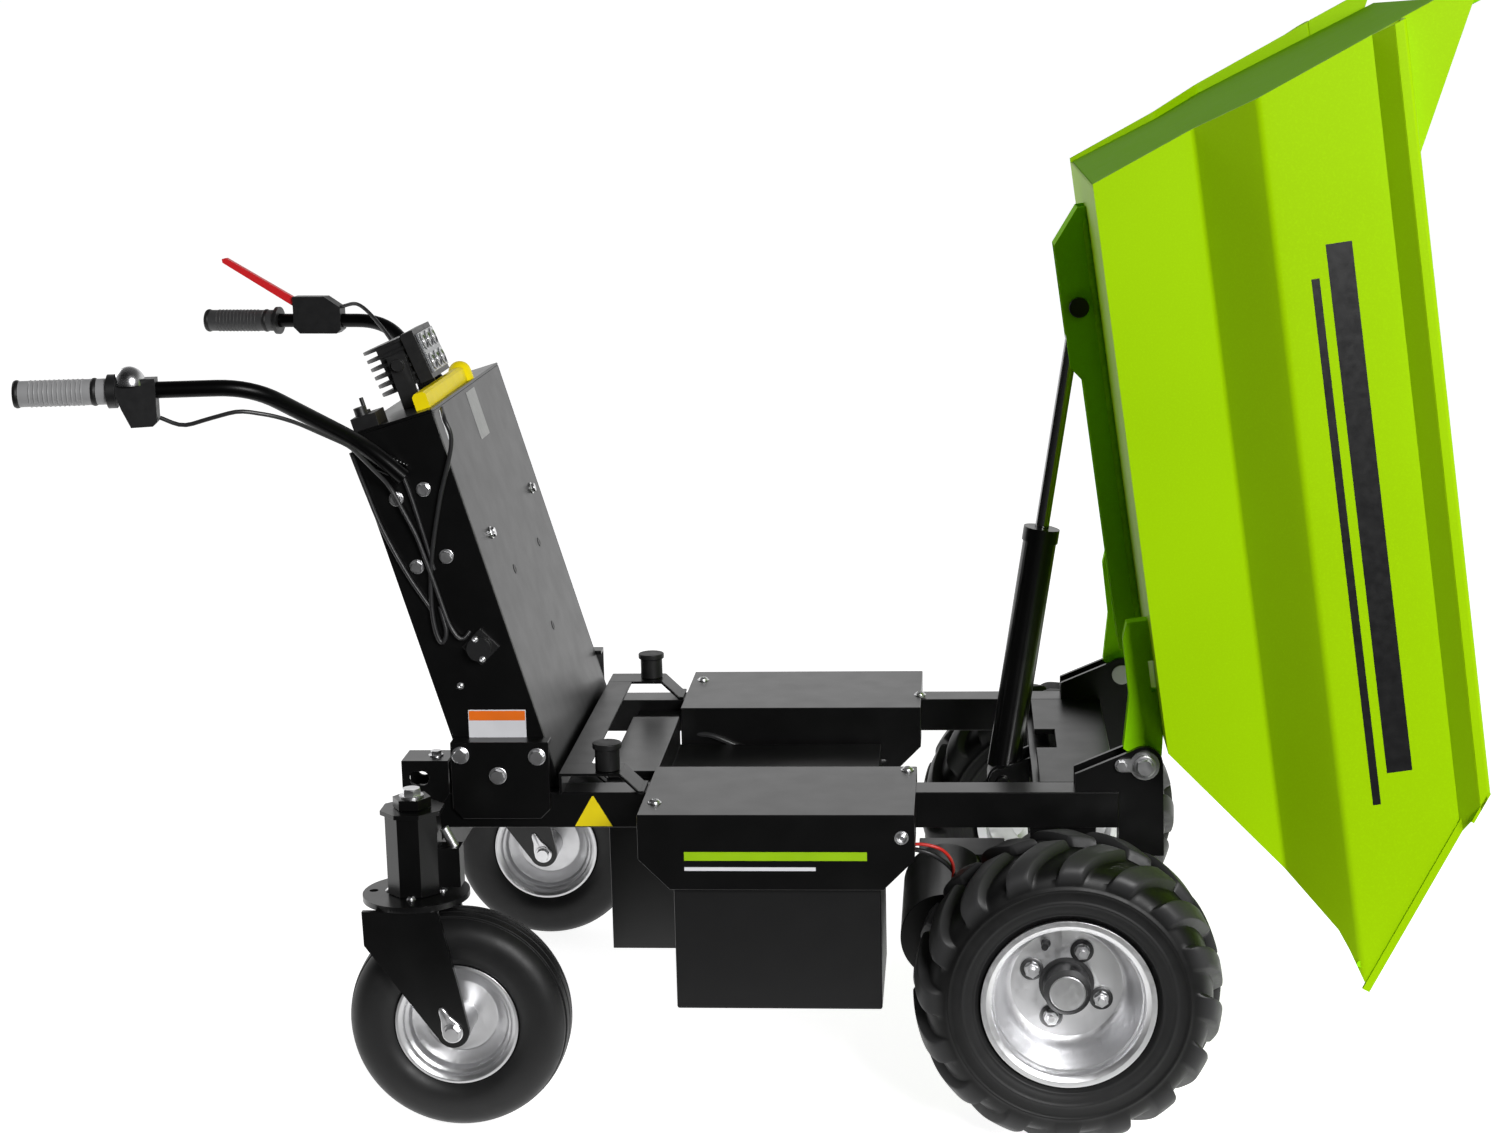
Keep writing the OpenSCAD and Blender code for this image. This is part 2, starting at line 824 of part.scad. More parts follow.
module control_box() {
  half = control_w / 2;
  step_x = -cover_back - cover_l;
  front_x = -cover_back - 60;
  flange_z = rail_top - 20;
  placed() color(black_paint) {
    plate_y(-half, half)
      polygon([
        [-control_back, box_low], [-control_back, rail_top - 6], [step_x, rail_top - 6],
        [step_x, rail_low], [front_x, rail_low], [front_x, box_low]
      ]);
    box([-control_back, -rail_in, flange_z], [step_x - 6, rail_in, flange_z + plate_t]);
  }
}

module drive_axle() {
  tube_end = drive_y - drive_rim_w / 2 + 20;
  placed() color(black_paint) {
    bar_y(0, axle_z, axle_tube_r, -tube_end, tube_end);
    bar_y(0, axle_z, spindle_r, -drive_y, drive_y);
    bar_y(0, axle_z, gearcase_r, -60, 60);
    for (s = [-1, 1])
      on_side(s)
        plate_y(rail_y - 20, rail_y + 20)
          polygon([[-45, rail_low], [45, rail_low], [axle_tube_r, axle_z], [-axle_tube_r, axle_z]]);
  }
}

module drive_motor() {
  motor_r = 62;
  motor_l = 229;
  motor_back = 160;
  gear_in = 61;
  gear_low = axle_z - 20;
  gear_h = 90;
  placed() color(black_paint) {
    bar_y(-motor_back, axle_z + 25, motor_r, -gear_in - motor_l, -gear_in);
    box([-motor_back - 40, -gear_in, gear_low], [-gearcase_r - seat, 20, gear_low + gear_h]);
  }
}

module cylinder_foot() {
  ear_r = 20;
  gap = barrel_r + 4;
  tube_x = -foot_back + barrel_r + 16;
  placed() color(black_paint) {
    for (s = [-1, 1])
      on_side(s)
        plate_y(gap, gap + ear_t) {
          polygon([
            [tube_x, rail_low], [tube_x, rail_low + 30], [foot_pin[0], foot_z + ear_r],
            [foot_pin[0], foot_z - ear_r], [tube_x, foot_z - ear_r]
          ]);
          translate(foot_pin) circle(ear_r);
        }
    bar_y(foot_pin[0], foot_pin[1], lift_pin_r, -gap - ear_t - 6, gap + ear_t + 6);
  }
}

// Wheels

module drive_wheel_place(side) {
  placed() on_side(side) translate([0, drive_y, axle_z]) rotate([-90, 0, 0]) children();
}

// Section of a drive rim: a dished disc, stepped out to the outer flange
function drive_rim_section(half, disc_z) =
  let(r = drive_seat_r, edge = drive_seat_r + drive_flange_h, t = 4, hole = hub_r + 6) [
    [hole, disc_z], [r - 30, disc_z], [r - 24, disc_z + 4], [r - 18, disc_z + 13], [r - 12, disc_z + 35],
    [r - 9, half - 27], [r - 8, half - 17], [r - 6, half - 15], [r - 5, half - 8], [r - 3.5, half - t],
    [r + 3, half], [edge, half], [edge, half - t], [r - run, half - t], [r - run, t - half], [edge, t - half],
    [edge, -half], [r - t, -half], [r - t, disc_z - 7], [r - 16, disc_z - 6], [r - 30, disc_z - 5],
    [hole, disc_z - 5]
  ];

module drive_rim(side) {
  half = drive_rim_w / 2;
  disc_z = half - disc_depth;
  hub_in = 22 - half;
  hub_end = disc_z + hub_out;
  end_h = 6;
  flange_r = nut_circle_d / 2 + 14;
  flange_t = 8;
  nut_turn = -66;
  drive_wheel_place(side) color(zinc)
    difference() {
      union() {
        rotate_extrude() polygon(drive_rim_section(half, disc_z));
        translate([0, 0, disc_z - 5 - flange_t]) cylinder(r = flange_r, h = flange_t);
        translate([0, 0, hub_in]) cylinder(r = hub_r, h = hub_end - end_h - hub_in);
        translate([0, 0, hub_in]) cylinder(r = hub_r - end_h, h = hub_end - hub_in);
        for (i = [0:3])
          rotate([0, 0, nut_turn + 90 * i]) translate([nut_circle_d / 2, 0, disc_z]) {
            cylinder(r = 10, h = 11, $fn = 6);
            cylinder(r = 5, h = 16);
          }
      }
      translate([0, 0, hub_in - 1]) cylinder(r = spindle_r + run, h = 1 + run - hub_in);
    }
}

// Rows of the tyre's section by their angle from the tread's middle, with the share of the lug's height there
lug_rows = [[0.3, 0], [2, 1], [30, 1], [52, 1], [70, 0.95], [86, 0.7], [100, 0], [125, 0], [150, 0]];
tyre_rows = concat([[180, 0]], [for (i = [8:-1:0]) lug_rows[i]], [for (row = lug_rows) [-row[0], row[1]]]);
// Shares of a lug's pitch, with the height there: the groove's ends, then the lug's top
lug_steps = [[0, 0], [0.44, 0], [0.52, 1], [0.92, 1]];

// A drive tyre: a rounded ring whose points are raised where a slanted lug runs
module lug_tyre() {
  power = 2 / 3.2;
  side_lug = 5;
  bead = drive_seat_r + 0.6;
  carcass = drive_r - lug_h;
  half_w = drive_w / 2 - side_lug;
  pitch = 360 / lug_n;
  crown_y = half_w * pow(sin(lug_rows[1][0]), power);
  top_middle = (lug_steps[2][0] + lug_steps[3][0]) / 2;
  columns = [for (i = [0:lug_n - 1], step = lug_steps) [i + step[0] - top_middle, step[1]]];
  n = len(columns);
  points = [
    for (row = tyre_rows)
      let(c = cos(row[0]), s = sin(row[0]), across = pow(abs(s), power),
          base_r = (carcass + bead) / 2 + (carcass - bead) / 2 * sign(c) * pow(abs(c), power),
          reach = half_w * (c < 0 ? 1 : across) - crown_y,
          lean = tan(lug_slant) * reach / drive_r * 180 / PI,
          stagger = abs(row[0]) < 180 ? sign(row[0]) * pitch / 4 : 0)
        for (column = columns)
          let(lug = row[1] * column[1],
              r = base_r + lug_h * lug * sqrt(max(c, 0)),
              a = pitch * column[0] + lean + stagger)
            [r * cos(a), -r * sin(a), sign(s) * (half_w * across + side_lug * lug * s * s)]
  ];
  faces = [
    for (i = [0:len(tyre_rows) - 1], k = [0:n - 1])
      let(j = (i + 1) % len(tyre_rows), m = (k + 1) % n)
        each [[i * n + k, j * n + k, j * n + m], [i * n + k, j * n + m, i * n + m]]
  ];
  polyhedron(points, faces, convexity = 10);
}

module drive_tyre(side) {
  drive_wheel_place(side) color(rubber) lug_tyre();
}

module castor_place(side) {
  placed() on_side(side) translate([castor_x, castor_y, 0]) children();
}

module castor_fork(side) {
  leg_back = 61;
  leg = [
    [-leg_back, crown_z], [1 - leg_back, crown_z - 47], [castor_trail - 21, castor_r - 8],
    [castor_trail + 21, castor_r + 7], [castor_trail + 10, castor_r + 64], [castor_trail - 13, crown_z]
  ];
  castor_place(side) color(black_paint) {
    difference() {
      translate([0, 0, crown_z]) cylinder(r = crown_r, h = fork_t);
      translate([14 - crown_r, 0, crown_z - 1]) cylinder(r = 6, h = fork_t + 2);
    }
    translate([0, 0, crown_z]) cylinder(r = king_r, h = housing_top + 2 + king_nut_h - crown_z);
    translate([0, 0, housing_top + 1]) cylinder(r = king_r + 10, h = king_nut_h, $fn = 6);
    for (s = [-1, 1])
      on_side(s)
        plate_y(leg_y, leg_y + fork_t) {
          polygon(leg);
          translate([castor_trail, castor_r]) circle(castor_eye_r);
        }
    bar_y(castor_trail, castor_r, castor_axle_r, -leg_y - fork_t - 8, leg_y + fork_t + 8);
  }
}

module castor_wheel_place(side) {
  castor_place(side) translate([castor_trail, 0, castor_r]) rotate([-90, 0, 0]) children();
}

// Half the section of a castor rim, from its hub out to the flange
castor_rim_half =
  let(r = castor_seat_r, half = castor_rim_w / 2, t = 3) [
    [castor_axle_r + 10, t], [r - 26, t], [r - 18, t + 6], [r - 10, t + 11], [r - 8, half - 13],
    [r - 3, half - 10], [r - 2, half - 4], [r + 4, half], [r + 8, half], [r + 8, half - t], [r - run, half - t]
  ];

module castor_rim(side) {
  n = len(castor_rim_half);
  other = [for (i = [n - 1:-1:0]) [castor_rim_half[i][0], -castor_rim_half[i][1]]];
  castor_wheel_place(side) color(zinc)
    difference() {
      union() {
        rotate_extrude() polygon(concat(castor_rim_half, other));
        translate([0, 0, 1 - leg_y]) cylinder(r = castor_axle_r + 14, h = 2 * leg_y - 2);
      }
      translate([0, 0, -leg_y]) cylinder(r = castor_axle_r + run, h = 2 * leg_y);
    }
}

module castor_tyre(side) {
  power = 2.6;
  groove = 3;
  groove_w = 4;
  castor_wheel_place(side) color(rubber)
    difference() {
      rotate_extrude() polygon(tyre_section(castor_r, castor_seat_r, castor_w, power));
      for (y = [-24, -9, 9, 24])
        let(middle_r = (castor_r + castor_seat_r) / 2,
            tread = middle_r + (castor_r - middle_r) * pow(1 - pow(2 * abs(y) / castor_w, power), 1 / power))
          rotate_extrude() translate([tread - groove, y - groove_w / 2]) square([2 * groove, groove_w]);
    }
}

// Tub, drawn as it lies when lowered, from the front end of its flat floor

module tub_side_outline() {
  polygon([
    side_at(0), [0, 0], chute_top, spout_tip, rim_front_top, side_at(rim_h)
  ]);
}

function inner_section() = [
  [tub_low_y - sheet_t, -1], [tub_low_y - sheet_t, fold_low], [tub_high_y - sheet_t, fold_high],
  [tub_high_y - sheet_t, back_h + 1]
];

module tub_inside() {
  half = inner_section();
  mirrored = [for (i = [len(half) - 1:-1:0]) [-half[i][0], half[i][1]]];
  translate([-2 * floor_l, 0, 0]) rotate([90, 0, 90])
    linear_extrude(3 * floor_l) polygon(concat(half, mirrored));
}

module tub_floor() {
  slope = atan2(chute_h, chute_l);
  spout_slope = atan2(spout_h, spout_l);
  placed() tipped() color(lime)
    intersection() {
      plate_y(-tub_high_y, tub_high_y)
        polygon([
          back_foot, [0, 0], chute_top, spout_tip, spout_tip + sheet_t * [-sin(spout_slope), cos(spout_slope)],
          chute_top + sheet_t * [-sin(slope), cos(slope)], [-sheet_t * tan(slope / 2), sheet_t],
          [-floor_l, sheet_t]
        ]);
      tub_inside();
    }
}

// A strip along the slanted front edge of a side, between two shares of that edge
module front_strip(w, share) {
  edge = spout_tip - rim_front_top;
  inward = w * [edge[1], -edge[0]] / norm(edge);
  end = rim_front_top + share * edge;
  polygon([rim_front_top, end, end + inward, rim_front_top + inward]);
}

module tub_side(side) {
  t = sheet_t;
  hem_t = 3;
  edge_h = rim_front_top[1] - spout_tip[1];
  section = [
    [tub_low_y, 0], [tub_low_y, fold_low], [tub_high_y, fold_high], [tub_high_y, rim_h - t],
    [tub_high_y + rim_w - t, rim_h - t], [tub_high_y + rim_w - t, rim_h - rim_lip],
    [tub_high_y + rim_w, rim_h - rim_lip], [tub_high_y + rim_w, rim_h], [tub_high_y - t, rim_h],
    [tub_high_y - t, fold_high], [tub_low_y - t, fold_low], [tub_low_y - t, 0]
  ];
  placed() tipped() color(lime) on_side(side) {
    intersection() {
      translate([-2 * floor_l, 0, 0]) rotate([90, 0, 90]) linear_extrude(3 * floor_l) polygon(section);
      plate_y(0, tub_high_y + rim_w) tub_side_outline();
    }
    intersection() {
      union() {
        plate_y(tub_high_y - t, tub_high_y + hem_t) front_strip(hem_w, 1);
        plate_y(tub_high_y - t, tub_high_y + rim_w) front_strip(t, rim_lip / edge_h);
      }
      plate_y(0, tub_high_y + rim_w) tub_side_outline();
    }
    plate_y(tub_high_y - t, tub_high_y)
      polygon([side_at(rim_h), side_at(rim_h) + [wing_l, 0], side_at(back_h)]);
  }
}

module tub_back() {
  shift = [sheet_t / cos(back_lean), 0];
  placed() tipped() color(lime)
    intersection() {
      plate_y(-tub_high_y, tub_high_y)
        polygon([back_at(sheet_t), back_at(back_h), back_at(back_h) + shift, back_at(sheet_t) + shift]);
      tub_inside();
    }
}

// Spine of two plates under the floor, deeper at the rod's pin, with recesses between its welds
module spine_outline() {
  slot_h = 7;
  difference() {
    polygon([
      [spine_back, 0], [spine_back, -spine_end], [deep_back, -spine_deep], [deep_front, -spine_deep],
      [deep_front + 21, -spine_h], [spine_front, -spine_h], [spine_front, 0]
    ]);
    for (slot = [[-635, -445], [-389, -250], [-182, -109]])
      translate([slot[0], -slot_h]) square([slot[1] - slot[0], slot_h + 1]);
  }
}

// A hinge lug under the floor
module lug_outline() {
  slot_h = 7;
  difference() {
    union() {
      polygon([
        [-162, 0], [-162, -28], [-140, -36], [-60, -38], [10, -55], [pivot_ahead, -pivot_drop],
        [pivot_ahead - 6, eye_r - pivot_drop], [0, 0]
      ]);
      translate([pivot_ahead, -pivot_drop]) circle(eye_r - 2);
    }
    translate([-106, -slot_h]) square([43, slot_h + 1]);
  }
}

module tub_subframe() {
  lug_half = 12;
  web_t = 4;
  rod_pin_at = [pivot_ahead - rod_pin_back, rod_pin_up - pivot_drop];
  placed() tipped() color(dark_lime)
    difference() {
      union() {
        for (s = [-1, 1])
          on_side(s) {
            plate_y(cheek_in, cheek_in + cheek_t) spine_outline();
            plate_y(rail_y - lug_half, rail_y + lug_half) lug_outline();
          }
        plate_y(-cheek_in - 1, cheek_in + 1)
          polygon([
            [spine_back, -spine_end], [deep_back, -spine_deep], [deep_back + web_t, web_t - spine_deep],
            [spine_back + web_t, web_t - spine_end]
          ]);
      }
      bar_y(pivot_ahead, -pivot_drop, pin_r + run, -rail_y - 60, rail_y + 60);
      bar_y(rod_pin_at[0], rod_pin_at[1], lift_pin_r + seat, -60, 60);
    }
}

module rod_pin_bolts() {
  rod_pin_at = [pivot_ahead - rod_pin_back, rod_pin_up - pivot_drop];
  placed() tipped() color(black_paint)
    for (s = [-1, 1])
      on_side(s) {
        bar_y(rod_pin_at[0], rod_pin_at[1], lift_pin_r, cheek_in, cheek_in + cheek_t + seat);
        bar_y(rod_pin_at[0], rod_pin_at[1], lift_pin_r + 5, cheek_in + cheek_t + seat, cheek_in + cheek_t + 10);
      }
}

// Lift cylinder

module lift_barrel() {
  placed() along_lift() color(black_paint)
    difference() {
      union() {
        translate([0, 0, 15]) cylinder(r = barrel_r, h = barrel_l - 15);
        bar_y(0, 0, 22, -barrel_r, barrel_r);
        translate([0, 0, barrel_l - 20]) cylinder(r = barrel_r + 2, h = 20);
      }
      bar_y(0, 0, lift_pin_r + run, -barrel_r - 1, barrel_r + 1);
      translate([0, 0, bore_low]) cylinder(r = rod_r + run, h = barrel_l);
    }
}

module lift_rod() {
  placed() along_lift() color(zinc) {
    translate([0, 0, rod_low]) cylinder(r = rod_r, h = lift_l - rod_low);
    bar_y(0, lift_l, rod_eye_r, -cheek_in + 2, cheek_in - 2);
    bar_y(0, lift_l, lift_pin_r, -cheek_in + 0.5, cheek_in - 0.5);
  }
}

rail(-1);  // rail_right
rail(1);  // rail_left
front_cross_plate();
lift_cross_tube();
rear_cross_beam();
lashing_bracket(-1);  // lashing_bracket_right
lashing_bracket(1);  // lashing_bracket_left
foot_plate(-1);  // foot_plate_right
foot_plate(1);  // foot_plate_left
hinge_bracket(-1);  // hinge_bracket_right
hinge_bracket(1);  // hinge_bracket_left
hinge_pins();
buffer_bridge();
rubber_buffers();
column_shell();
column_front_cover();
column_top_plate();
handlebar(-1);  // handlebar_right
handlebar(1);  // handlebar_left
grip(-1);  // grip_right
grip(1);  // grip_left
throttle_unit();
brake_lever();
lever_blade();
work_lamp();
lamp_lens();
emergency_stop();
switch_block();
charge_socket();
control_cable();
cover(-1);  // cover_right
cover(1);  // cover_left
battery_box(-1);  // battery_box_right
battery_box(1);  // battery_box_left
control_box();
drive_axle();
drive_motor();
cylinder_foot();
tub_floor();
tub_side(-1);  // tub_side_right
tub_side(1);  // tub_side_left
tub_back();
tub_subframe();
rod_pin_bolts();
lift_barrel();
lift_rod();
drive_rim(-1);  // drive_rim_right
drive_tyre(-1);  // drive_tyre_right
drive_rim(1);  // drive_rim_left
drive_tyre(1);  // drive_tyre_left
castor_fork(-1);  // castor_fork_right
castor_rim(-1);  // castor_rim_right
castor_tyre(-1);  // castor_tyre_right
castor_fork(1);  // castor_fork_left
castor_rim(1);  // castor_rim_left
castor_tyre(1);  // castor_tyre_left
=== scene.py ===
"""Looks of a battery site dumper: painted sheet steel, rubber tyres, zinc plated rims and its controls.

Sizes in this file are millimetres unless a name ends in _m or _M. Places are measured from the ground under
the drive axle: X forward to the tub, Y to the left, Z up.
"""

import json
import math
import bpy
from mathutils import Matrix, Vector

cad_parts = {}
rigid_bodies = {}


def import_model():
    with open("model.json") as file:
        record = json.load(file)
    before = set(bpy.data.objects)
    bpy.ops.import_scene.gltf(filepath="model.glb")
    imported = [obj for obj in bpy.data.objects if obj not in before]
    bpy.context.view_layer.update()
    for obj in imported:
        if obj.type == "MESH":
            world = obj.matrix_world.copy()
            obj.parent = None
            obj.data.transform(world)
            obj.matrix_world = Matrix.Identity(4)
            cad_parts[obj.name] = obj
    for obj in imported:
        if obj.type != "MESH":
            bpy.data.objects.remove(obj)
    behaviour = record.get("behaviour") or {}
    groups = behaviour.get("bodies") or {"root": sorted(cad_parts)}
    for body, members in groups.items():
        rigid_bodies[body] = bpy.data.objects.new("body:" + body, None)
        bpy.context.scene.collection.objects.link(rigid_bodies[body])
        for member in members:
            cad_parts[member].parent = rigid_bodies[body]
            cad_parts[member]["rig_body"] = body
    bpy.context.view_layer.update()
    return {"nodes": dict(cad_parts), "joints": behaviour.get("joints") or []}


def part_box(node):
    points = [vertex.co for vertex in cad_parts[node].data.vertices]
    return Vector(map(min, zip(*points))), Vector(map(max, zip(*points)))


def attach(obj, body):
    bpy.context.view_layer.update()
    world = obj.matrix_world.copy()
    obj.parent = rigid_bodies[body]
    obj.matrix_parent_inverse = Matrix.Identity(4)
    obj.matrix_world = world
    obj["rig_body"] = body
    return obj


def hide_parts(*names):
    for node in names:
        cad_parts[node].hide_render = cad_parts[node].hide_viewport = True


bl_info = {
    "name": "Site dumper looks",
    "version": (1, 0, 0),
    "blender": (4, 5, 0),
    "location": "View3D > Sidebar > Dumper",
    "description": "Finishes the sheet steel, wheels, controls and stage of a battery site dumper",
    "category": "Object",
}

import bmesh
import bpy
import numpy as np
from bpy.props import FloatProperty, FloatVectorProperty, IntProperty, PointerProperty
from mathutils import Matrix, Vector
from mathutils.bvhtree import BVHTree

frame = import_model()

MM = 0.001
TAU = 2 * math.pi
JOINTS = {joint["name"]: joint for joint in frame["joints"]}
AXLE_X_M = JOINTS["drive_spin_right"]["pos_m"][0]
PIVOT_M = np.array(JOINTS["tub_tip"]["pos_m"])
# The angle between the tub's tipped and lowered place
TIP = math.radians(82.3)
# The pivot of the tub from the back of its floor, and the drop of the pivot below the floor
PIVOT_AHEAD, PIVOT_DROP = 33.0, 30.0
TUB_SIDE_Y, TUB_RIM_H, TUB_FOLD_LOW, TUB_FOLD_HIGH = 430.0, 390.0, 133.0, 208.0
COLUMN_FOOT = np.array([-688.0, 0.0, 431.0])
COLUMN_UP = np.array([-0.284, 0.0, 0.9588])
COLUMN_OUT = np.array([0.9588, 0.0, 0.284])
SIDES = (("right", -1), ("left", 1))
RIGHT, UP = (0.0, -1.0, 0.0), (0.0, 0.0, 1.0)


class DumperColours(bpy.types.PropertyGroup):
    """Colours of the paints, in linear light."""

    lime: FloatVectorProperty(
        name="Lime", description="Paint of the tub's panels", subtype="COLOR",
        default=(0.31, 0.56, 0.0008), min=0, max=1,
    )
    # A copy of the tub's lime whose tint is fitted to how the subframe and back wall look in their shade:
    # painted light and shade, not a paint of its own
    shade_matched_lime: FloatVectorProperty(
        name="Shade matched lime", description="Paint of the tub's subframe and back wall", subtype="COLOR",
        default=(0.29, 0.72, 0.004), min=0, max=1,
    )
    black: FloatVectorProperty(
        name="Black", description="Paint of the chassis, column and covers", subtype="COLOR",
        default=(0.0015, 0.0015, 0.0016), min=0, max=1,
    )
    box_black: FloatVectorProperty(
        name="Box black", description="Powder coat of the battery boxes", subtype="COLOR",
        default=(0.006, 0.006, 0.0063), min=0, max=1,
    )
    rubber: FloatVectorProperty(
        name="Rubber", description="Tyres, grips and buffers", subtype="COLOR",
        default=(0.0075, 0.0075, 0.0077), min=0, max=1,
    )
    grey_rubber: FloatVectorProperty(
        name="Grey rubber", description="The throttle's grip", subtype="COLOR",
        default=(0.30, 0.30, 0.305), min=0, max=1,
    )
    zinc: FloatVectorProperty(
        name="Zinc", description="Plated rims and bolts", subtype="COLOR",
        default=(0.66, 0.66, 0.67), min=0, max=1,
    )
    red: FloatVectorProperty(
        name="Red", description="Paint of the brake lever", subtype="COLOR",
        default=(0.70, 0.02, 0.025), min=0, max=1,
    )
    yellow: FloatVectorProperty(
        name="Yellow", description="Plastic of the bar on the column", subtype="COLOR",
        default=(0.90, 0.72, 0.005), min=0, max=1,
    )
    orange: FloatVectorProperty(
        name="Orange", description="Band of the blank plate on the column", subtype="COLOR",
        default=(0.86, 0.17, 0.01), min=0, max=1,
    )
    label_white: FloatVectorProperty(
        name="Label white", description="Film of the blank plates", subtype="COLOR",
        default=(0.72, 0.72, 0.75), min=0, max=1,
    )


class DumperTyres(bpy.types.PropertyGroup):
    """Sizes of the tyres' tread."""

    lugs: IntProperty(
        name="Lugs", description="Lugs on each half of a drive tyre's tread", default=16, min=8, max=30,
    )
    lug_height: FloatProperty(
        name="Lug height", description="Height of a lug over the carcass, in millimetres", default=13.0,
        min=4, max=20,
    )
    lug_slant: FloatProperty(
        name="Lug slant", description="Angle by which the lugs lean from the axle's direction",
        default=math.radians(42), min=0, max=1.2, subtype="ANGLE", unit="ROTATION",
    )


class DumperStage(bpy.types.PropertyGroup):
    """Camera and light of the stage."""

    camera_place: FloatVectorProperty(
        name="Camera place", description="Place of the camera from the ground under the drive axle",
        default=(-0.1317, -3.6728, 1.4412), subtype="TRANSLATION", unit="LENGTH",
    )
    camera_yaw: FloatProperty(
        name="Yaw", description="Turn of the camera to the left", default=math.radians(4.70), subtype="ANGLE",
        unit="ROTATION",
    )
    camera_pitch: FloatProperty(
        name="Pitch", description="Angle by which the camera looks down", default=math.radians(11.53),
        subtype="ANGLE", unit="ROTATION",
    )
    camera_roll: FloatProperty(
        name="Roll", description="Turn of the camera about its own line of sight",
        default=math.radians(-1.36), subtype="ANGLE", unit="ROTATION",
    )
    camera_lens: FloatProperty(
        name="Lens", description="Focal length for a sensor 36 mm wide", default=61.80, min=20, max=200,
    )
    key_power: FloatProperty(
        name="Key light", description="Power of the large lamp in front on the right, in watts",
        default=278.0, min=0,
    )
    sky_low: FloatProperty(
        name="Dark side", description="Light of the surroundings behind the camera", default=0.05, min=0,
    )
    sky_high: FloatProperty(
        name="Bright side", description="Light of the surroundings behind the machine", default=1.02, min=0,
    )
    floor_glow: FloatProperty(
        name="Floor glow", description="Light that the pale floor gives by itself", default=0.90, min=0,
    )


# Arrays and meshes


def grid_faces(rows, columns, wrap_rows=False, wrap_columns=False):
    """Quads between neighbouring points of a grid that is stored row by row."""
    r = np.arange(rows if wrap_rows else rows - 1)[:, None]
    c = np.arange(columns if wrap_columns else columns - 1)[None, :]
    next_r = (r + 1) % rows
    next_c = (c + 1) % columns
    corners = [r * columns + c, r * columns + next_c, next_r * columns + next_c, next_r * columns + c]
    return np.stack(corners, -1).reshape(-1, 4)


def smoothstep(low, high, value):
    """Rises from 0 at low to 1 at high, flat at both ends."""
    t = np.clip((value - low) / (high - low), 0.0, 1.0)
    return t * t * (3.0 - 2.0 * t)


def from_axle(points):
    """Turns millimetres from the ground under the drive axle into the frame's metres."""
    return np.asarray(points, float) * MM + np.array([AXLE_X_M, 0.0, 0.0])


def in_frame(shape):
    """A shape in millimetres from the axle, in the frame's metres."""
    return from_axle(shape[0]), shape[1]


def tub_point(along, across, up):
    """A place on the tipped tub, in millimetres from the axle, by its place on the lowered floor."""
    along, across, up = (np.asarray(v, float) for v in (along, across, up))
    t, h = along - PIVOT_AHEAD, up + PIVOT_DROP
    pivot = PIVOT_M / MM
    return np.stack(np.broadcast_arrays(
        pivot[0] - AXLE_X_M / MM + t * math.cos(TIP) + h * math.sin(TIP),
        across,
        pivot[2] - t * math.sin(TIP) + h * math.cos(TIP),
    ), -1)


def column_point(along, across, out=0.0):
    """A place on the leaning column: along its front from the foot, across and out of it."""
    along, across, out = (np.asarray(v, float)[..., None] for v in (along, across, out))
    return COLUMN_FOOT + along * COLUMN_UP + out * COLUMN_OUT + across * np.array([0.0, 1.0, 0.0])


def lathe(rows, segments=24):
    """Rings round Z: a row is a radius, a height and, for a hexagon with that corner radius, True.

    A hexagon's radius at an angle a is R cos(30) / cos((a mod 60) - 30), all angles in degrees.
    """
    radius, height, hexagon = (np.array(v, float) for v in zip(*((*row, False)[:3] for row in rows)))
    angle = np.linspace(0, TAU, segments, endpoint=False)
    shape = math.cos(math.pi / 6) / np.cos(angle % (math.pi / 3) - math.pi / 6)
    r = radius[:, None] * np.where(hexagon[:, None] > 0, shape[None, :], 1.0)
    points = np.stack([r * np.cos(angle), r * np.sin(angle), np.broadcast_to(height[:, None], r.shape)], -1)
    return points.reshape(-1, 3), grid_faces(len(rows), segments, False, True).tolist()


def basis(axis, spin=0.0):
    """Columns of a turn that takes Z to an axis."""
    z = np.asarray(axis, float) / np.linalg.norm(axis)
    x = np.cross((0.0, 0.0, 1.0) if abs(z[2]) < 0.9 else (1.0, 0.0, 0.0), z)
    x /= np.linalg.norm(x)
    y = np.cross(z, x)
    return np.stack([math.cos(spin) * x + math.sin(spin) * y, math.cos(spin) * y - math.sin(spin) * x, z], -1)


def set_at(shape, place_m, axis, spin=0.0):
    """A shape in millimetres, turned to an axis and moved to a place in metres."""
    return shape[0] * MM @ basis(axis, spin).T + np.asarray(place_m, float), shape[1]


def merge(shapes):
    """Joins shapes, each a pair of points and faces, into one."""
    points, faces, start = [], [], 0
    for shape_points, shape_faces in shapes:
        points.append(shape_points)
        faces += [[start + int(i) for i in face] for face in shape_faces]
        start += len(shape_points)
    return np.concatenate(points), faces


def flow(knots, steps=10):
    """A Catmull-Rom curve through knots: each span is a cubic on four neighbours."""
    k = np.asarray(knots, float)
    k = np.concatenate([2 * k[:1] - k[1:2], k, 2 * k[-1:] - k[-2:-1]])
    u = np.linspace(0, 1, steps, endpoint=False)[:, None]
    spans = [
        0.5 * (2 * b + (c - a) * u + (2 * a - 5 * b + 4 * c - d) * u ** 2 + (3 * b - a - 3 * c + d) * u ** 3)
        for a, b, c, d in zip(k[:-3], k[1:-2], k[2:-1], k[3:])
    ]
    return np.concatenate(spans + [k[-2:-1]])


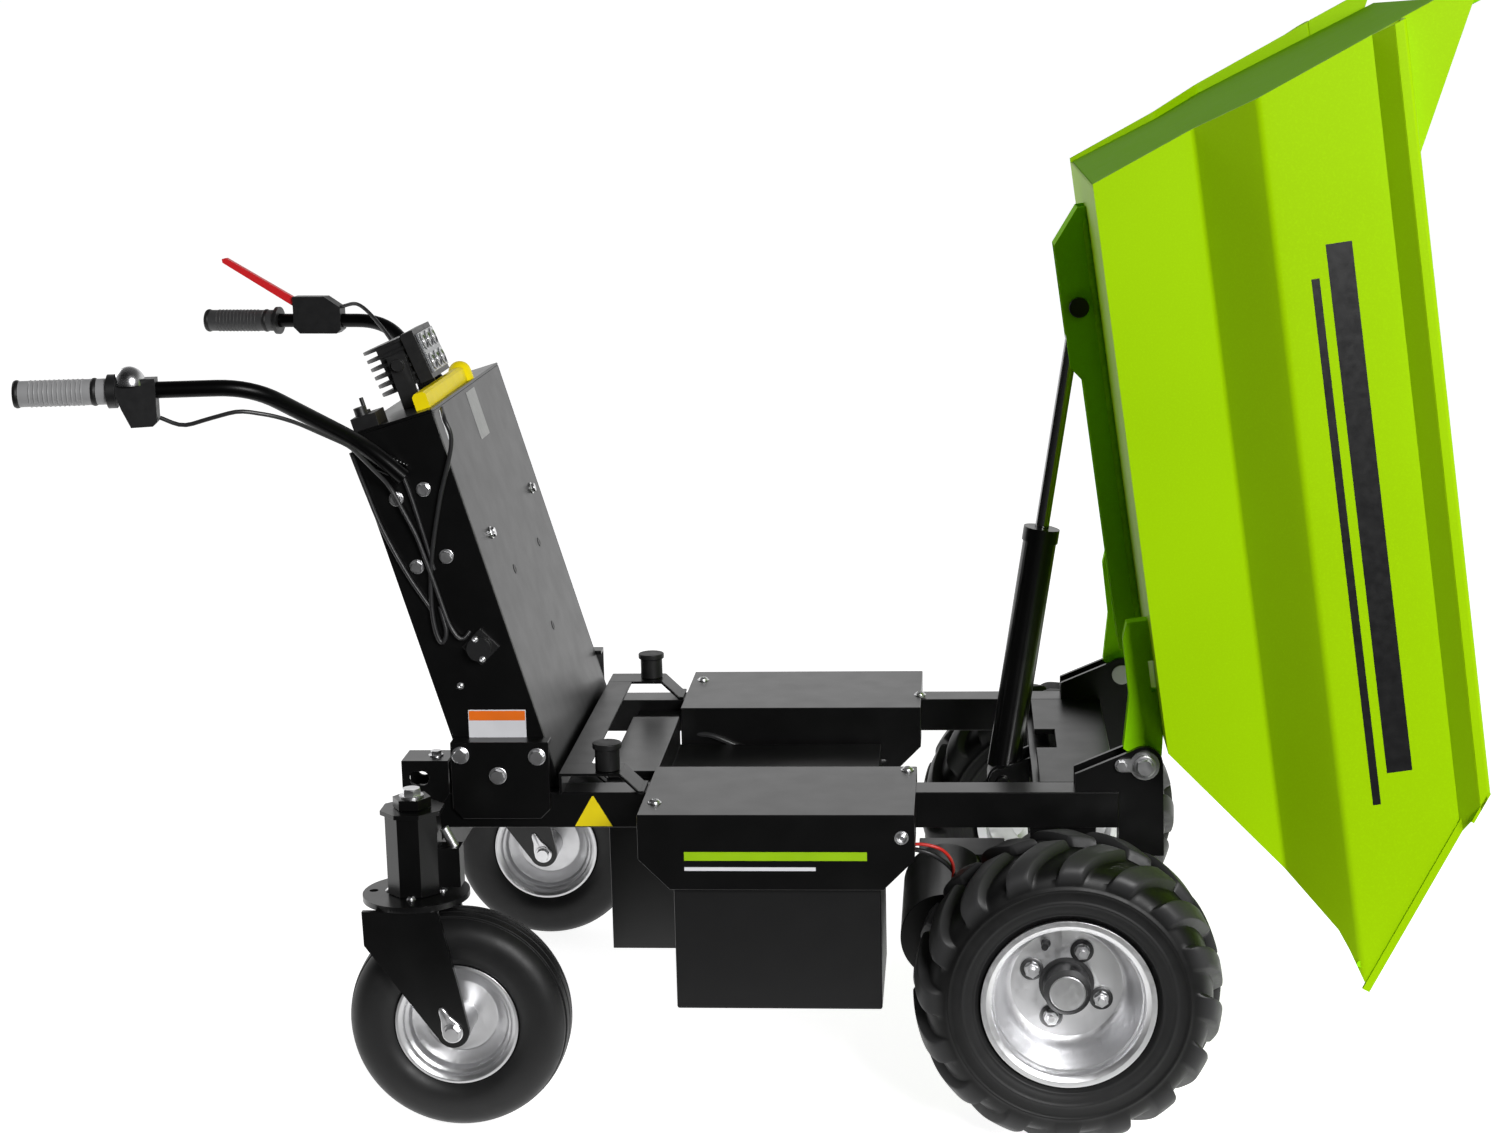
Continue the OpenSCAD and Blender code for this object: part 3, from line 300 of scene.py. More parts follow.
def hose(path, radius, sides=12):
    """A tube along a path: rings in planes square to it, carried along without twist."""
    path = np.asarray(path, float)
    radius = np.broadcast_to(np.asarray(radius, float), len(path))
    ahead = np.gradient(path, axis=0)
    ahead /= np.linalg.norm(ahead, axis=1)[:, None]
    first = np.cross(ahead[0], (0.31, 0.52, 0.79))
    frames = [first / np.linalg.norm(first)]
    for way in ahead[1:]:
        v = frames[-1] - way * np.dot(frames[-1], way)
        frames.append(v / np.linalg.norm(v))
    u = np.array(frames)
    v = np.cross(ahead, u)
    a = np.linspace(0, TAU, sides, endpoint=False)
    rings = path[:, None] + radius[:, None, None] * (
        u[:, None] * np.cos(a)[None, :, None] + v[:, None] * np.sin(a)[None, :, None])
    n = len(path)
    caps = [list(range(sides))[::-1], list(range((n - 1) * sides, n * sides))]
    return rings.reshape(-1, 3), grid_faces(n, sides, False, True).tolist() + caps


def bead(start, end, radius=3.0, ripple=0.5, wave=5.0):
    """A weld: a tube whose radius swells once per drop of metal along its length."""
    start, end = np.asarray(start, float), np.asarray(end, float)
    length = np.linalg.norm(end - start)
    u = np.linspace(0, 1, max(12, int(length / wave * 6)))
    shrink = np.sqrt(np.clip(1 - (2 * u - 1) ** 20, 0.05, 1))
    swell = (radius + ripple * np.abs(np.sin(u * length / wave * math.pi))) * shrink
    return hose(start + u[:, None] * (end - start), swell, 10)


# Search trees of the nodes that pieces have been seated on
SURFACES = {}
# How far a film reaches into the sheet under it
FILM_SINK = 0.2


def mesh_points(mesh):
    """The vertices of a mesh as rows of an array."""
    points = np.empty(3 * len(mesh.vertices), np.float32)
    mesh.vertices.foreach_get("co", points)
    return points.reshape(-1, 3).astype(float)


def seat(node, place, axis, reach=120.0):
    """Where a line that comes in along an axis over a place first meets a node's surface, in metres."""
    if node not in SURFACES:
        mesh = frame["nodes"][node].data
        corners = [face.vertices[:] for face in mesh.polygons]
        SURFACES[node] = BVHTree.FromPolygons(mesh_points(mesh).tolist(), corners)
    way = Vector(axis).normalized()
    start = Vector(from_axle(place)) + way * reach * MM
    hit = SURFACES[node].ray_cast(start, -way, 4 * reach * MM)[0]
    if hit is None:
        raise RuntimeError(f"{node} is not under {place}")
    return np.array(hit)


def film(node, corners, axis, rows=2, columns=8, lift=0.4):
    """A film on a surface: a grid between four corners, each point laid on a node and lifted a little."""
    a, b, c, d = (np.asarray(corner, float) for corner in corners)
    u = np.linspace(0, 1, columns)[None, :, None]
    v = np.linspace(0, 1, rows)[:, None, None]
    grid = ((1 - v) * ((1 - u) * a + u * b) + v * ((1 - u) * d + u * c)).reshape(-1, 3)
    way = np.asarray(axis, float) / np.linalg.norm(axis)
    laid = np.array([seat(node, place, axis) for place in grid])
    top, low = laid + way * lift * MM, laid - way * FILM_SINK * MM
    faces = grid_faces(rows, columns)
    n = rows * columns
    index = np.arange(n).reshape(rows, columns)
    ring = np.concatenate([index[0, :-1], index[:-1, -1], index[-1, :0:-1], index[:0:-1, 0]])
    skirt = np.stack([ring, np.roll(ring, -1), np.roll(ring, -1) + n, ring + n], -1)
    return np.concatenate([top, low]), faces.tolist() + (faces[:, ::-1] + n).tolist() + skirt.tolist()


def body_of(node):
    """The body that carries a node."""
    return frame["nodes"][node]["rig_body"]


# Points nearer than these are one: in a new shape, in a sliver of it and in a node's loose triangles
SEAM_M, SLIVER_M, NODE_SEAM_M = 0.01 * MM, 0.005 * MM, 0.001 * MM
# A node's faces are one flat face up to the first angle, and smooth up to the second, in degrees
FLAT_UP_TO, SMOOTH_UP_TO = 0.3, 30.0


def make_piece(name, shape, body, finish, replaced=(), sharp=32.0, tread=None):
    """Puts points and faces into a mesh, closes its seams, turns it outwards and shades it up to an angle."""
    points, faces = shape
    mesh = bpy.data.meshes.new(name)
    corners = [list(map(int, face)) for face in faces]
    mesh.from_pydata(np.asarray(points, float).reshape(-1, 3).tolist(), [], corners)
    # The tread's share of painted light and shade, kept on its points for its material
    if tread is not None:
        heights = mesh.attributes.new("tread", "FLOAT", "POINT")
        heights.data.foreach_set("value", np.asarray(tread, np.float32).ravel())
    work = bmesh.new()
    work.from_mesh(mesh)
    bmesh.ops.remove_doubles(work, verts=work.verts, dist=SEAM_M)
    bmesh.ops.dissolve_degenerate(work, edges=work.edges, dist=SLIVER_M)
    bmesh.ops.recalc_face_normals(work, faces=work.faces)
    work.to_mesh(mesh)
    work.free()
    return place_piece(name, mesh, body, finish, replaced, sharp)


def place_piece(name, mesh, body, finish, replaced, sharp):
    """Shades a mesh, gives it its finish and lets it ride on a body in place of the nodes it replaces."""
    mesh.shade_smooth()
    mesh.set_sharp_from_angle(angle=math.radians(sharp))
    mesh.materials.clear()
    mesh.materials.append(MATERIALS[finish])
    piece = bpy.data.objects.new(name, mesh)
    bpy.context.scene.collection.objects.link(piece)
    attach(piece, body)
    if replaced:
        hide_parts(*replaced)
    return piece


def round_edges(piece, width, angle=30.0, segments=2):
    """Rounds the edges of a piece that are sharper than an angle."""
    bevel = piece.modifiers.new("Rounded edges", "BEVEL")
    bevel.width = width * MM
    bevel.segments = segments
    bevel.limit_method = "ANGLE"
    bevel.angle_limit = math.radians(angle)
    bevel.harden_normals = True


LAMP_NODES = ("work_lamp", "lamp_lens")
# The lamp's full size against its solid's, and how far it stands further forward
LAMP_GROWTH, LAMP_AHEAD = 1.22, 8.0


def grow_lamp(points):
    """Points of the lamp, moved away from the middle of its foot to the head's full size."""
    solid = mesh_points(frame["nodes"]["work_lamp"].data)
    height = solid @ COLUMN_UP
    foot = solid[height < height.min() + MM].mean(axis=0)
    return foot + LAMP_GROWTH * (np.asarray(points, float) - foot) + LAMP_AHEAD * MM * COLUMN_OUT


def soften(node, width, finish):
    """A copy of a node's solid, joined up and with its edges rounded, stands for the node."""
    mesh = frame["nodes"][node].data.copy()
    if node in LAMP_NODES:
        mesh.vertices.foreach_set("co", grow_lamp(mesh_points(mesh)).ravel())
    work = bmesh.new()
    work.from_mesh(mesh)
    bmesh.ops.remove_doubles(work, verts=work.verts, dist=NODE_SEAM_M)
    flat = math.radians(FLAT_UP_TO)
    bmesh.ops.dissolve_limit(work, angle_limit=flat, verts=work.verts, edges=work.edges)
    work.to_mesh(mesh)
    work.free()
    piece = place_piece(node + "_finish", mesh, body_of(node), finish, [node], SMOOTH_UP_TO)
    round_edges(piece, width)


# Materials


class Shader:
    """A material that is built node by node on Object coordinates."""

    def __init__(self, name, **values):
        self.material = bpy.data.materials.new(name)
        self.material.use_nodes = True
        self.tree = self.material.node_tree
        self.surface = self.tree.nodes["Principled BSDF"]
        self.where = self.tree.nodes.new("ShaderNodeTexCoord").outputs["Object"]
        for key, value in values.items():
            self.surface.inputs[key.capitalize()].default_value = value

    def add(self, kind, **links):
        """Adds a node; a socket is a link from another node, anything else a constant."""
        node = self.tree.nodes.new(kind)
        for key, value in links.items():
            target = node.inputs[key.replace("_", " ").title()]
            self.feed(target, value)
        return node

    def feed(self, target, value):
        """Links a socket to an input, or sets the input's constant."""
        if isinstance(value, bpy.types.NodeSocket):
            self.tree.links.new(value, target)
        else:
            target.default_value = value

    def noise(self, scale, detail=2.0, roughness=0.5, where=None):
        """Value noise of a scale per metre."""
        node = self.add("ShaderNodeTexNoise", vector=where or self.where, scale=scale, detail=detail)
        node.inputs["Roughness"].default_value = roughness
        return node.outputs["Fac"]

    def spread(self, value, low, high, start=0.3, end=0.7):
        """Stretches a value between two limits."""
        node = self.tree.nodes.new("ShaderNodeMapRange")
        for key, number in (("From Min", start), ("From Max", end), ("To Min", low), ("To Max", high)):
            node.inputs[key].default_value = number
        self.feed(node.inputs["Value"], value)
        return node.outputs["Result"]

    def mix(self, share, first, second):
        """Mixes two colours by a share."""
        node = self.tree.nodes.new("ShaderNodeMix")
        node.data_type = "RGBA"
        self.feed(node.inputs[0], share)
        self.feed(node.inputs[6], first if isinstance(first, bpy.types.NodeSocket) else (*first, 1.0))
        self.feed(node.inputs[7], second if isinstance(second, bpy.types.NodeSocket) else (*second, 1.0))
        return node.outputs[2]

    def bump(self, height, strength, distance_mm, below=None):
        """Raises the surface by a height, over another bump if one is given."""
        node = self.tree.nodes.new("ShaderNodeBump")
        node.inputs["Strength"].default_value = strength
        node.inputs["Distance"].default_value = distance_mm * MM
        self.feed(node.inputs["Height"], height)
        if below is not None:
            self.feed(node.inputs["Normal"], below)
        return node.outputs["Normal"]

    def finish(self, **links):
        """Links colour, roughness, normal and so on to the surface."""
        for key, value in links.items():
            self.feed(self.surface.inputs[key.replace("_", " ").title()], value)
        return self.material


def shade_of(colour, factor):
    """A colour made lighter or darker by a factor."""
    return tuple(min(1.0, c * factor) for c in colour)


def powder_coat(name, colour, rough, ior, grain=0.08):
    """Powder coat: a faint orange peel, a slow drift of colour and small changes of gloss."""
    s = Shader(name)
    s.surface.inputs["IOR"].default_value = ior
    drift = s.spread(s.noise(4.0, 2.0), 0.0, 1.0)
    specks = s.spread(s.noise(420.0, 2.0), 0.0, 1.0, 0.5, 0.8)
    base = s.mix(drift, shade_of(colour, 0.975), shade_of(colour, 1.02))
    base = s.mix(specks, base, shade_of(colour, 1.08))
    gloss = s.spread(s.noise(26.0, 3.0), rough - 0.02, rough + 0.02)
    peel = s.bump(s.noise(900.0, 1.0), grain, 0.4)
    return s.finish(base_color=base, roughness=gloss, normal=peel)


def tyre_rubber(name, colour, painted_lug_light=False):
    """Moulded rubber: matt, a little dusty, with a fine grain from the mould; a tread has painted shade in its
    grooves and a painted highlight on its lugs' tops.
    """
    s = Shader(name)
    s.surface.inputs["IOR"].default_value = 1.38
    dust = s.spread(s.noise(9.0, 5.0, 0.6), 0.0, 1.0, 0.42, 0.72)
    base = s.mix(dust, colour, shade_of(colour, 1.35))
    if painted_lug_light:
        # Painted light by the tread's height share: painted shade in the grooves, a painted highlight on the
        # lugs' tops
        height = s.tree.nodes.new("ShaderNodeAttribute")
        height.attribute_name = "tread"
        top = s.mix(dust, shade_of(colour, 3.8), shade_of(colour, 5.0))
        base = s.mix(height.outputs["Fac"], shade_of(colour, 0.3), top)
    gloss = s.spread(s.noise(60.0, 4.0), 0.42, 0.52)
    grain = s.bump(s.noise(1500.0, 2.0), 0.14, 0.4)
    soft = s.bump(s.noise(70.0, 3.0), 0.06, 1.0, grain)
    return s.finish(base_color=base, roughness=gloss, normal=soft)


def zinc_plate(name, colour, rough=0.36):
    """Zinc plate: bright, with a soft cloud in the plating and small changes of gloss."""
    s = Shader(name, metallic=1.0)
    cloud = s.spread(s.noise(16.0, 3.0, 0.55), 0.0, 1.0)
    base = s.mix(cloud, shade_of(colour, 0.93), shade_of(colour, 1.05))
    gloss = s.spread(s.noise(120.0, 3.0), rough - 0.04, rough + 0.05)
    return s.finish(base_color=base, roughness=gloss)


def moulded_plastic(name, colour, rough=0.45, ior=1.5):
    """Moulded plastic: an even colour with a spark-eroded grain."""
    s = Shader(name)
    s.surface.inputs["IOR"].default_value = ior
    tone = s.spread(s.noise(20.0, 3.0), 0.0, 1.0)
    base = s.mix(tone, shade_of(colour, 0.95), shade_of(colour, 1.04))
    gloss = s.spread(s.noise(90.0, 3.0), rough - 0.04, rough + 0.04)
    grain = s.bump(s.noise(2200.0, 1.0), 0.10, 0.25)
    return s.finish(base_color=base, roughness=gloss, normal=grain)


def ground_chrome(name, low=0.42, rough=0.12):
    """Hard chrome on a ground rod: mirror bright with faint grinding marks."""
    s = Shader(name, metallic=1.0)
    marks = s.noise(850.0, 2.0)
    base = s.mix(s.spread(marks, 0.0, 1.0), (low, low, low * 1.02), (low * 1.2, low * 1.2, low * 1.22))
    return s.finish(base_color=base, roughness=s.spread(marks, rough, rough + 0.07))


MATERIALS = {}


def paint_shop(colours):
    """Makes each finish once, by the name of the record's slot or of a shade of it."""
    MATERIALS.update(
        lime_paint=powder_coat("Lime powder coat", colours.lime, 0.44, 1.12),
        # The tub's lime again, with its tint fitted to the subframe's shade: painted light and shade
        dark_lime_paint=powder_coat("Shade matched lime powder coat", colours.shade_matched_lime, 0.50, 1.03),
        # Painted shade: the subframe's lime made darker for the back wall, which lies in shade
        back_paint=powder_coat("Shaded lime powder coat", shade_of(colours.shade_matched_lime, 0.68), 0.50, 1.03),
        frame_paint=powder_coat("Black powder coat", colours.black, 0.30, 1.5),
        panel_paint=powder_coat("Black panel coat", colours.black, 0.32, 1.36),
        bar_paint=powder_coat("Bar powder coat", colours.black, 0.30, 1.22),
        box_paint=powder_coat("Box powder coat", colours.box_black, 0.46, 1.36),
        tyre_rubber=tyre_rubber("Tyre rubber", colours.rubber),
        # The tread's rubber, with painted shade in the grooves and a painted highlight on the lugs' tops
        tread_rubber=tyre_rubber("Tread rubber", colours.rubber, True),
        soft_rubber=tyre_rubber("Soft rubber", colours.rubber),
        grip_rubber=tyre_rubber("Grip rubber", shade_of(colours.rubber, 6.0)),
        grey_rubber=moulded_plastic("Grey rubber", colours.grey_rubber, 0.36),
        zinc=zinc_plate("Zinc plate", colours.zinc),
        # Painted light: the zinc made lighter for the drive rims, whose dishes face dark surroundings
        rim_zinc=zinc_plate("Lightened rim zinc", shade_of(colours.zinc, 1.3), 0.39),
        dull_zinc=zinc_plate("Dull zinc", shade_of(colours.zinc, 0.16), 0.42),
        bright_zinc=zinc_plate("Bright zinc", shade_of(colours.zinc, 1.2), 0.34),
        rod_chrome=ground_chrome("Ground chrome", 0.30),
        bright_chrome=ground_chrome("Bright chrome", 0.50, 0.22),
        black_plastic=moulded_plastic("Black plastic", (0.008, 0.008, 0.0085)),
        cord=moulded_plastic("Cord sheath", (0.020, 0.020, 0.021), 0.38),
        red_cord=moulded_plastic("Red sheath", (0.55, 0.02, 0.015), 0.4),
        lamp_casting=moulded_plastic("Lamp casting", (0.012, 0.012, 0.0125), 0.42),
        lens=moulded_plastic("Lens", (0.20, 0.205, 0.215), 0.14),
        yellow_plastic=moulded_plastic("Yellow plastic", colours.yellow, 0.40, 1.16),
        red_paint=powder_coat("Red paint", colours.red, 0.30, 1.45),
        orange_film=moulded_plastic("Orange film", colours.orange, 0.4),
        white_film=moulded_plastic("White film", colours.label_white, 0.4),
        grey_film=moulded_plastic("Grey film", (0.22, 0.22, 0.22), 0.35),
        yellow_film=moulded_plastic("Yellow film", shade_of(colours.yellow, 0.9), 0.4),
        black_film=moulded_plastic("Black film", (0.005, 0.005, 0.0055), 0.35),
        lime_film=moulded_plastic("Lime film", shade_of(colours.lime, 0.95), 0.4),
    )


# Pieces that keep the solid's own form, with the radius of their edges

SOFT_EDGES = {
    "frame_paint": (
        1.2,
        ["rail_right", "rail_left", "lift_cross_tube", "rear_cross_beam", "lashing_bracket_right",
         "lashing_bracket_left", "foot_plate_right", "foot_plate_left", "hinge_bracket_right",
         "hinge_bracket_left", "column_shell", "drive_axle", "cylinder_foot", "cover_right", "cover_left",
         "drive_motor", "rod_pin_bolts", "lift_barrel", "castor_fork_right", "castor_fork_left",
         "control_box"],
    ),
    "bar_paint": (1.2, ["handlebar_right", "handlebar_left"]),
    "panel_paint": (1.2, ["front_cross_plate", "column_front_cover", "column_top_plate"]),
    "box_paint": (3.0, ["battery_box_right", "battery_box_left"]),
    "soft_rubber": (2.0, ["rubber_buffers"]),
    "grip_rubber": (2.0, ["grip_left"]),
    "grey_rubber": (2.0, ["grip_right"]),
    "zinc": (1.0, ["hinge_pins", "castor_rim_right", "castor_rim_left"]),
    # Drive rims in the lightened zinc: painted light
    "rim_zinc": (1.0, ["drive_rim_right", "drive_rim_left"]),
    "rod_chrome": (0.8, ["lift_rod"]),
    "lamp_casting": (1.0, ["work_lamp"]),
    "black_plastic": (1.2, ["switch_block", "charge_socket", "throttle_unit", "brake_lever"]),
    "cord": (0.5, ["control_cable"]),
    "lens": (0.8, ["lamp_lens"]),
    "yellow_plastic": (1.5, ["emergency_stop"]),
    "red_paint": (0.8, ["lever_blade"]),
    "lime_paint": (1.3, ["tub_floor"]),
    # The subframe in the lime tinted for its shade: painted light and shade
    "dark_lime_paint": (1.4, ["tub_subframe"]),
    # The back wall in the darker copy of the lime: painted shade
    "back_paint": (1.4, ["tub_back"]),
    "tyre_rubber": (1.0, ["castor_tyre_right", "castor_tyre_left"]),
}


class DUMPER_OT_steelwork(bpy.types.Operator):
    """Paints the pieces that keep the solid's own form and rounds their edges"""

    bl_idname = "dumper.steelwork"
    bl_label = "Steelwork"

    def execute(self, context):
        paint_shop(context.scene.dumper_colours)
        for finish, (width, nodes) in SOFT_EDGES.items():
            for node in nodes:
                soften(node, width, finish)
        return {"FINISHED"}


# Buffer bridge

# Sections (x, z) of the arms that carry the buffers and of the strip along the column. The strip is a
# tenth of a millimetre thinner, so that its faces don't lie in the arms' faces.
BRIDGE_ARM = [
    (-687, 431), (-687, 460), (-602, 460), (-576, 435), (-570, 435),
    (-570, 431), (-578, 431), (-604, 456), (-683, 456), (-683, 431),
]
BRIDGE_STRIP = [
    (-686.9, 431), (-686.9, 459.9), (-650, 459.9), (-650, 456.1), (-683.1, 456.1), (-683.1, 431),
]
BRIDGE_SPANS = ((BRIDGE_ARM, -285, -231), (BRIDGE_ARM, 231, 285), (BRIDGE_STRIP, -232, 232))


def prism(rings):
    """A closed prism between two rings of points that match one by one."""
    n = len(rings[0])
    walls = [[i, (i + 1) % n, n + (i + 1) % n, n + i] for i in range(n)]
    return np.concatenate(rings), walls + [list(range(n))[::-1], list(range(n, 2 * n))]


def bridge_span(section, low, high):
    """A stretch of the bridge: its section (x, z) between two places across."""
    return prism([np.insert(np.asarray(section, float), 1, y, axis=1) for y in (low, high)])


class DUMPER_OT_buffer_bridge(bpy.types.Operator):
    """Folds the buffer bridge, cut out between its arms over the control box"""

    bl_idname = "dumper.buffer_bridge"
    bl_label = "Buffer bridge"

    def execute(self, context):
        shape = in_frame(merge([bridge_span(*span) for span in BRIDGE_SPANS]))
        node = "buffer_bridge"
        piece = make_piece(node + "_finish", shape, body_of(node), "panel_paint", [node], 30.0)
        round_edges(piece, 1.0)
        return {"FINISHED"}


# Drive tyres

# Half the section's width, the carcass's and the bead's radius, and the radius over the lugs
TYRE_HALF_W, CARCASS_R, BEAD_R, TYRE_R = 77.5, 190.0, 104.6, 203.0
# Exponent of the section's superellipse, and how far a lug stands out at the side
SECTION_POWER, SIDE_LUG = 2 / 3.2, 5.0
# Angles round the section, from the middle of the tread, and the share of a lug's height there
LUG_ANGLES = [0.3, 2, 30, 58, 66, 72, 78, 180]
LUG_LEVELS = [0, 1, 1, 1, 0.9, 0.6, 0, 0]
# The rounded inner end of a lug: its second and third ring of points
LUG_START = (0.55, 0.9)
# Shares of a pitch and the height there: groove, rising wall, top, falling wall
PITCH_SHARES = [
    0, 0.09, 0.18, 0.27, 0.36, 0.43, 0.452, 0.505, 0.525, 0.6, 0.68, 0.76, 0.84, 0.905, 0.93, 0.985,
]
PITCH_HEIGHTS = [0, 0, 0, 0, 0, 0, 0.10, 0.93, 1, 1, 1, 1, 1, 1, 0.93, 0.10]
# Middle of a lug's top in its pitch
LUG_MIDDLE = 0.72
# Moulded rings on the sidewall: radius and rise, and their width
WALL_RINGS = ((157, 1.5), (139, 1.2), (122, 1.6))
WALL_RING_W = 2.4
# The sidewall lies where the section's cosine is below this, and takes this share of the painted light, between
# the grooves' painted shade and the lugs' painted highlight
WALL_COSINE, WALL_LIGHT_SHARE = 0.35, 0.3


def section_angles():
    """Angles of the section's points on one half: close at a lug's start and over each moulded ring.

    A ring of radius r lies where the superellipse's cosine is (r - middle) / reach.
    """
    middle, reach = (CARCASS_R + BEAD_R) / 2, (CARCASS_R - BEAD_R) / 2
    near = np.add.outer([radius for radius, rise in WALL_RINGS], [-5, -3, -1.5, 0, 1.5, 3, 5]).ravel()
    cosine = (near - middle) / reach
    rings = np.degrees(np.arccos(np.sign(cosine) * np.abs(cosine) ** (1 / SECTION_POWER)))
    start = [0.3, 0.9, 1.5, 2.0, 2.6]
    return np.unique(np.concatenate([start, np.linspace(4, 128, 42), np.linspace(134, 179.7, 9), rings]))


def lug_tyre(joint, node, side, tyres):
    """A tyre as a ring r(t), z(t) carried round the axle, raised where a lug runs.

    With c = |cos t|^p and s = |sin t|^p the section is a superellipse between the bead and the carcass. A
    column of the grid keeps to one share of a lug's pitch, and its angle grows with the distance from the
    tread's middle, so each lug leans as a straight bar; the two halves are half a pitch apart.
    """
    centre = np.array(JOINTS[joint]["pos_m"]) / MM
    half = section_angles()
    degrees = np.concatenate([-half[::-1], half])
    lug = np.interp(half, LUG_ANGLES, LUG_LEVELS)
    lug[1:3] = LUG_START
    lug = np.concatenate([lug[::-1], lug])
    t = np.radians(degrees)
    c = np.sign(np.cos(t)) * np.abs(np.cos(t)) ** SECTION_POWER
    across = np.abs(np.sin(t)) ** SECTION_POWER
    way = np.sign(degrees)
    r = (CARCASS_R + BEAD_R) / 2 + (CARCASS_R - BEAD_R) / 2 * c
    ridge = sum(rise * np.exp(-((r - at) / WALL_RING_W) ** 2) for at, rise in WALL_RINGS)
    crown = TYRE_HALF_W * math.sin(math.radians(LUG_ANGLES[1])) ** SECTION_POWER
    lean = math.tan(tyres.lug_slant) * (TYRE_HALF_W * np.where(c < 0, 1.0, across) - crown) / TYRE_R
    pitch = TAU / tyres.lugs
    columns = np.add.outer(np.arange(tyres.lugs), np.array(PITCH_SHARES) - LUG_MIDDLE).ravel() * pitch
    top = np.tile(PITCH_HEIGHTS, tyres.lugs)[None, :] * lug[:, None]
    angle = columns[None, :] + (lean + way * pitch / 4)[:, None]
    ring_r = r[:, None] + tyres.lug_height * top * np.sqrt(np.maximum(c, 0))[:, None]
    ring_z = way[:, None] * (TYRE_HALF_W * across[:, None] + SIDE_LUG * top * (across ** 2)[:, None]
                             + (ridge * (c < WALL_COSINE))[:, None])
    points = np.stack([
        centre[0] + ring_r * np.cos(angle), centre[1] + side * ring_z, centre[2] + ring_r * np.sin(angle),
    ], -1) * MM
    faces = grid_faces(len(degrees), columns.size, True, True)
    # Share of painted light at each point: painted highlight on the lugs' tops, painted shade in the grooves,
    # the sidewall in between
    wall = WALL_LIGHT_SHARE * (1 - smoothstep(0.0, 0.5, c + 0.25))
    tread = np.clip(np.maximum(top, wall[:, None]), 0, 1)
    make_piece(node + "_tread", (points, faces), body_of(node), "tread_rubber", [node], 40.0, tread)


class DUMPER_OT_drive_tyres(bpy.types.Operator):
    """Makes the drive tyres with their slanted lugs"""

    bl_idname = "dumper.drive_tyres"
    bl_label = "Drive tyres"

    def execute(self, context):
        for name, side in SIDES:
            lug_tyre("drive_spin_" + name, "drive_tyre_" + name, side, context.scene.dumper_tyres)
        return {"FINISHED"}


# Tub sides

# Where the back of a side panel starts on the floor, and its lean
TUB_BACK_T, TUB_BACK_LEAN = -751.0, math.radians(20.5)
# The front edge of a side panel as (h, t): chute, spout and slanted front up to the rim
FRONT_EDGE = np.array([(0, 0), (190, 255), (213, 330), (TUB_RIM_H, 76)], float)
# Places across of a panel's foot, its upper part and its rim, and the middle of the rim's sheet
PANEL_FOOT_Y, PANEL_Y, RIM_Y, RIM_H = 348, 428, 456, 388
SHEET = 4.0
# Middle lines of the side's sheet and of the slanted web under its rim, as (y, h), and the fold radii
PANEL = [
    (PANEL_FOOT_Y, 0), (PANEL_FOOT_Y, TUB_FOLD_LOW), (PANEL_Y, TUB_FOLD_HIGH), (PANEL_Y, RIM_H),
    (RIM_Y, RIM_H), (RIM_Y, 375),
]
PANEL_RADII = [12, 12, 4, 3.5]
RIM_WEB = [(429, 353), (RIM_Y, 376)]
# Width and outer face of the hem along the whole front edge and of the rim's end plate, 25 mm high
HEM_W, HEM_OUT, END_W, END_OUT, END_H = 10, 433, 4, 458, 25
# The wing at the back: its length on the rim, the height of its tip and its two faces
WING_L, WING_H, WING_IN, WING_OUT = 175, 489, 426, 430


def filleted(corners, radii, steps=8):
    """A line through corners with each inner corner rounded by an arc of its radius."""
    corners = np.asarray(corners, float)
    line = [corners[0]]
    for before, corner, after, radius in zip(corners, corners[1:], corners[2:], radii):
        back, ahead = before - corner, after - corner
        back, ahead = back / np.linalg.norm(back), ahead / np.linalg.norm(ahead)
        half = math.acos(np.clip(np.dot(back, ahead), -1, 1)) / 2
        middle = (back + ahead) / np.linalg.norm(back + ahead)
        centre = corner + middle * radius / math.sin(half)
        start, end = (corner + way * radius / math.tan(half) - centre for way in (back, ahead))
        turn = math.pi - 2 * half
        u = np.linspace(0, 1, steps)[:, None]
        line += list(centre + (np.sin((1 - u) * turn) * start + np.sin(u * turn) * end) / math.sin(turn))
    return np.array(line + [corners[-1]])


def tub_back_at(h):
    """Where a side panel ends at the back, at a height over the floor."""
    return TUB_BACK_T - np.asarray(h, float) * math.tan(TUB_BACK_LEAN)


def tub_front_at(h):
    """Where a side panel ends in front: along the chute, the spout and the slanted front edge."""
    return np.interp(h, *FRONT_EDGE.T)


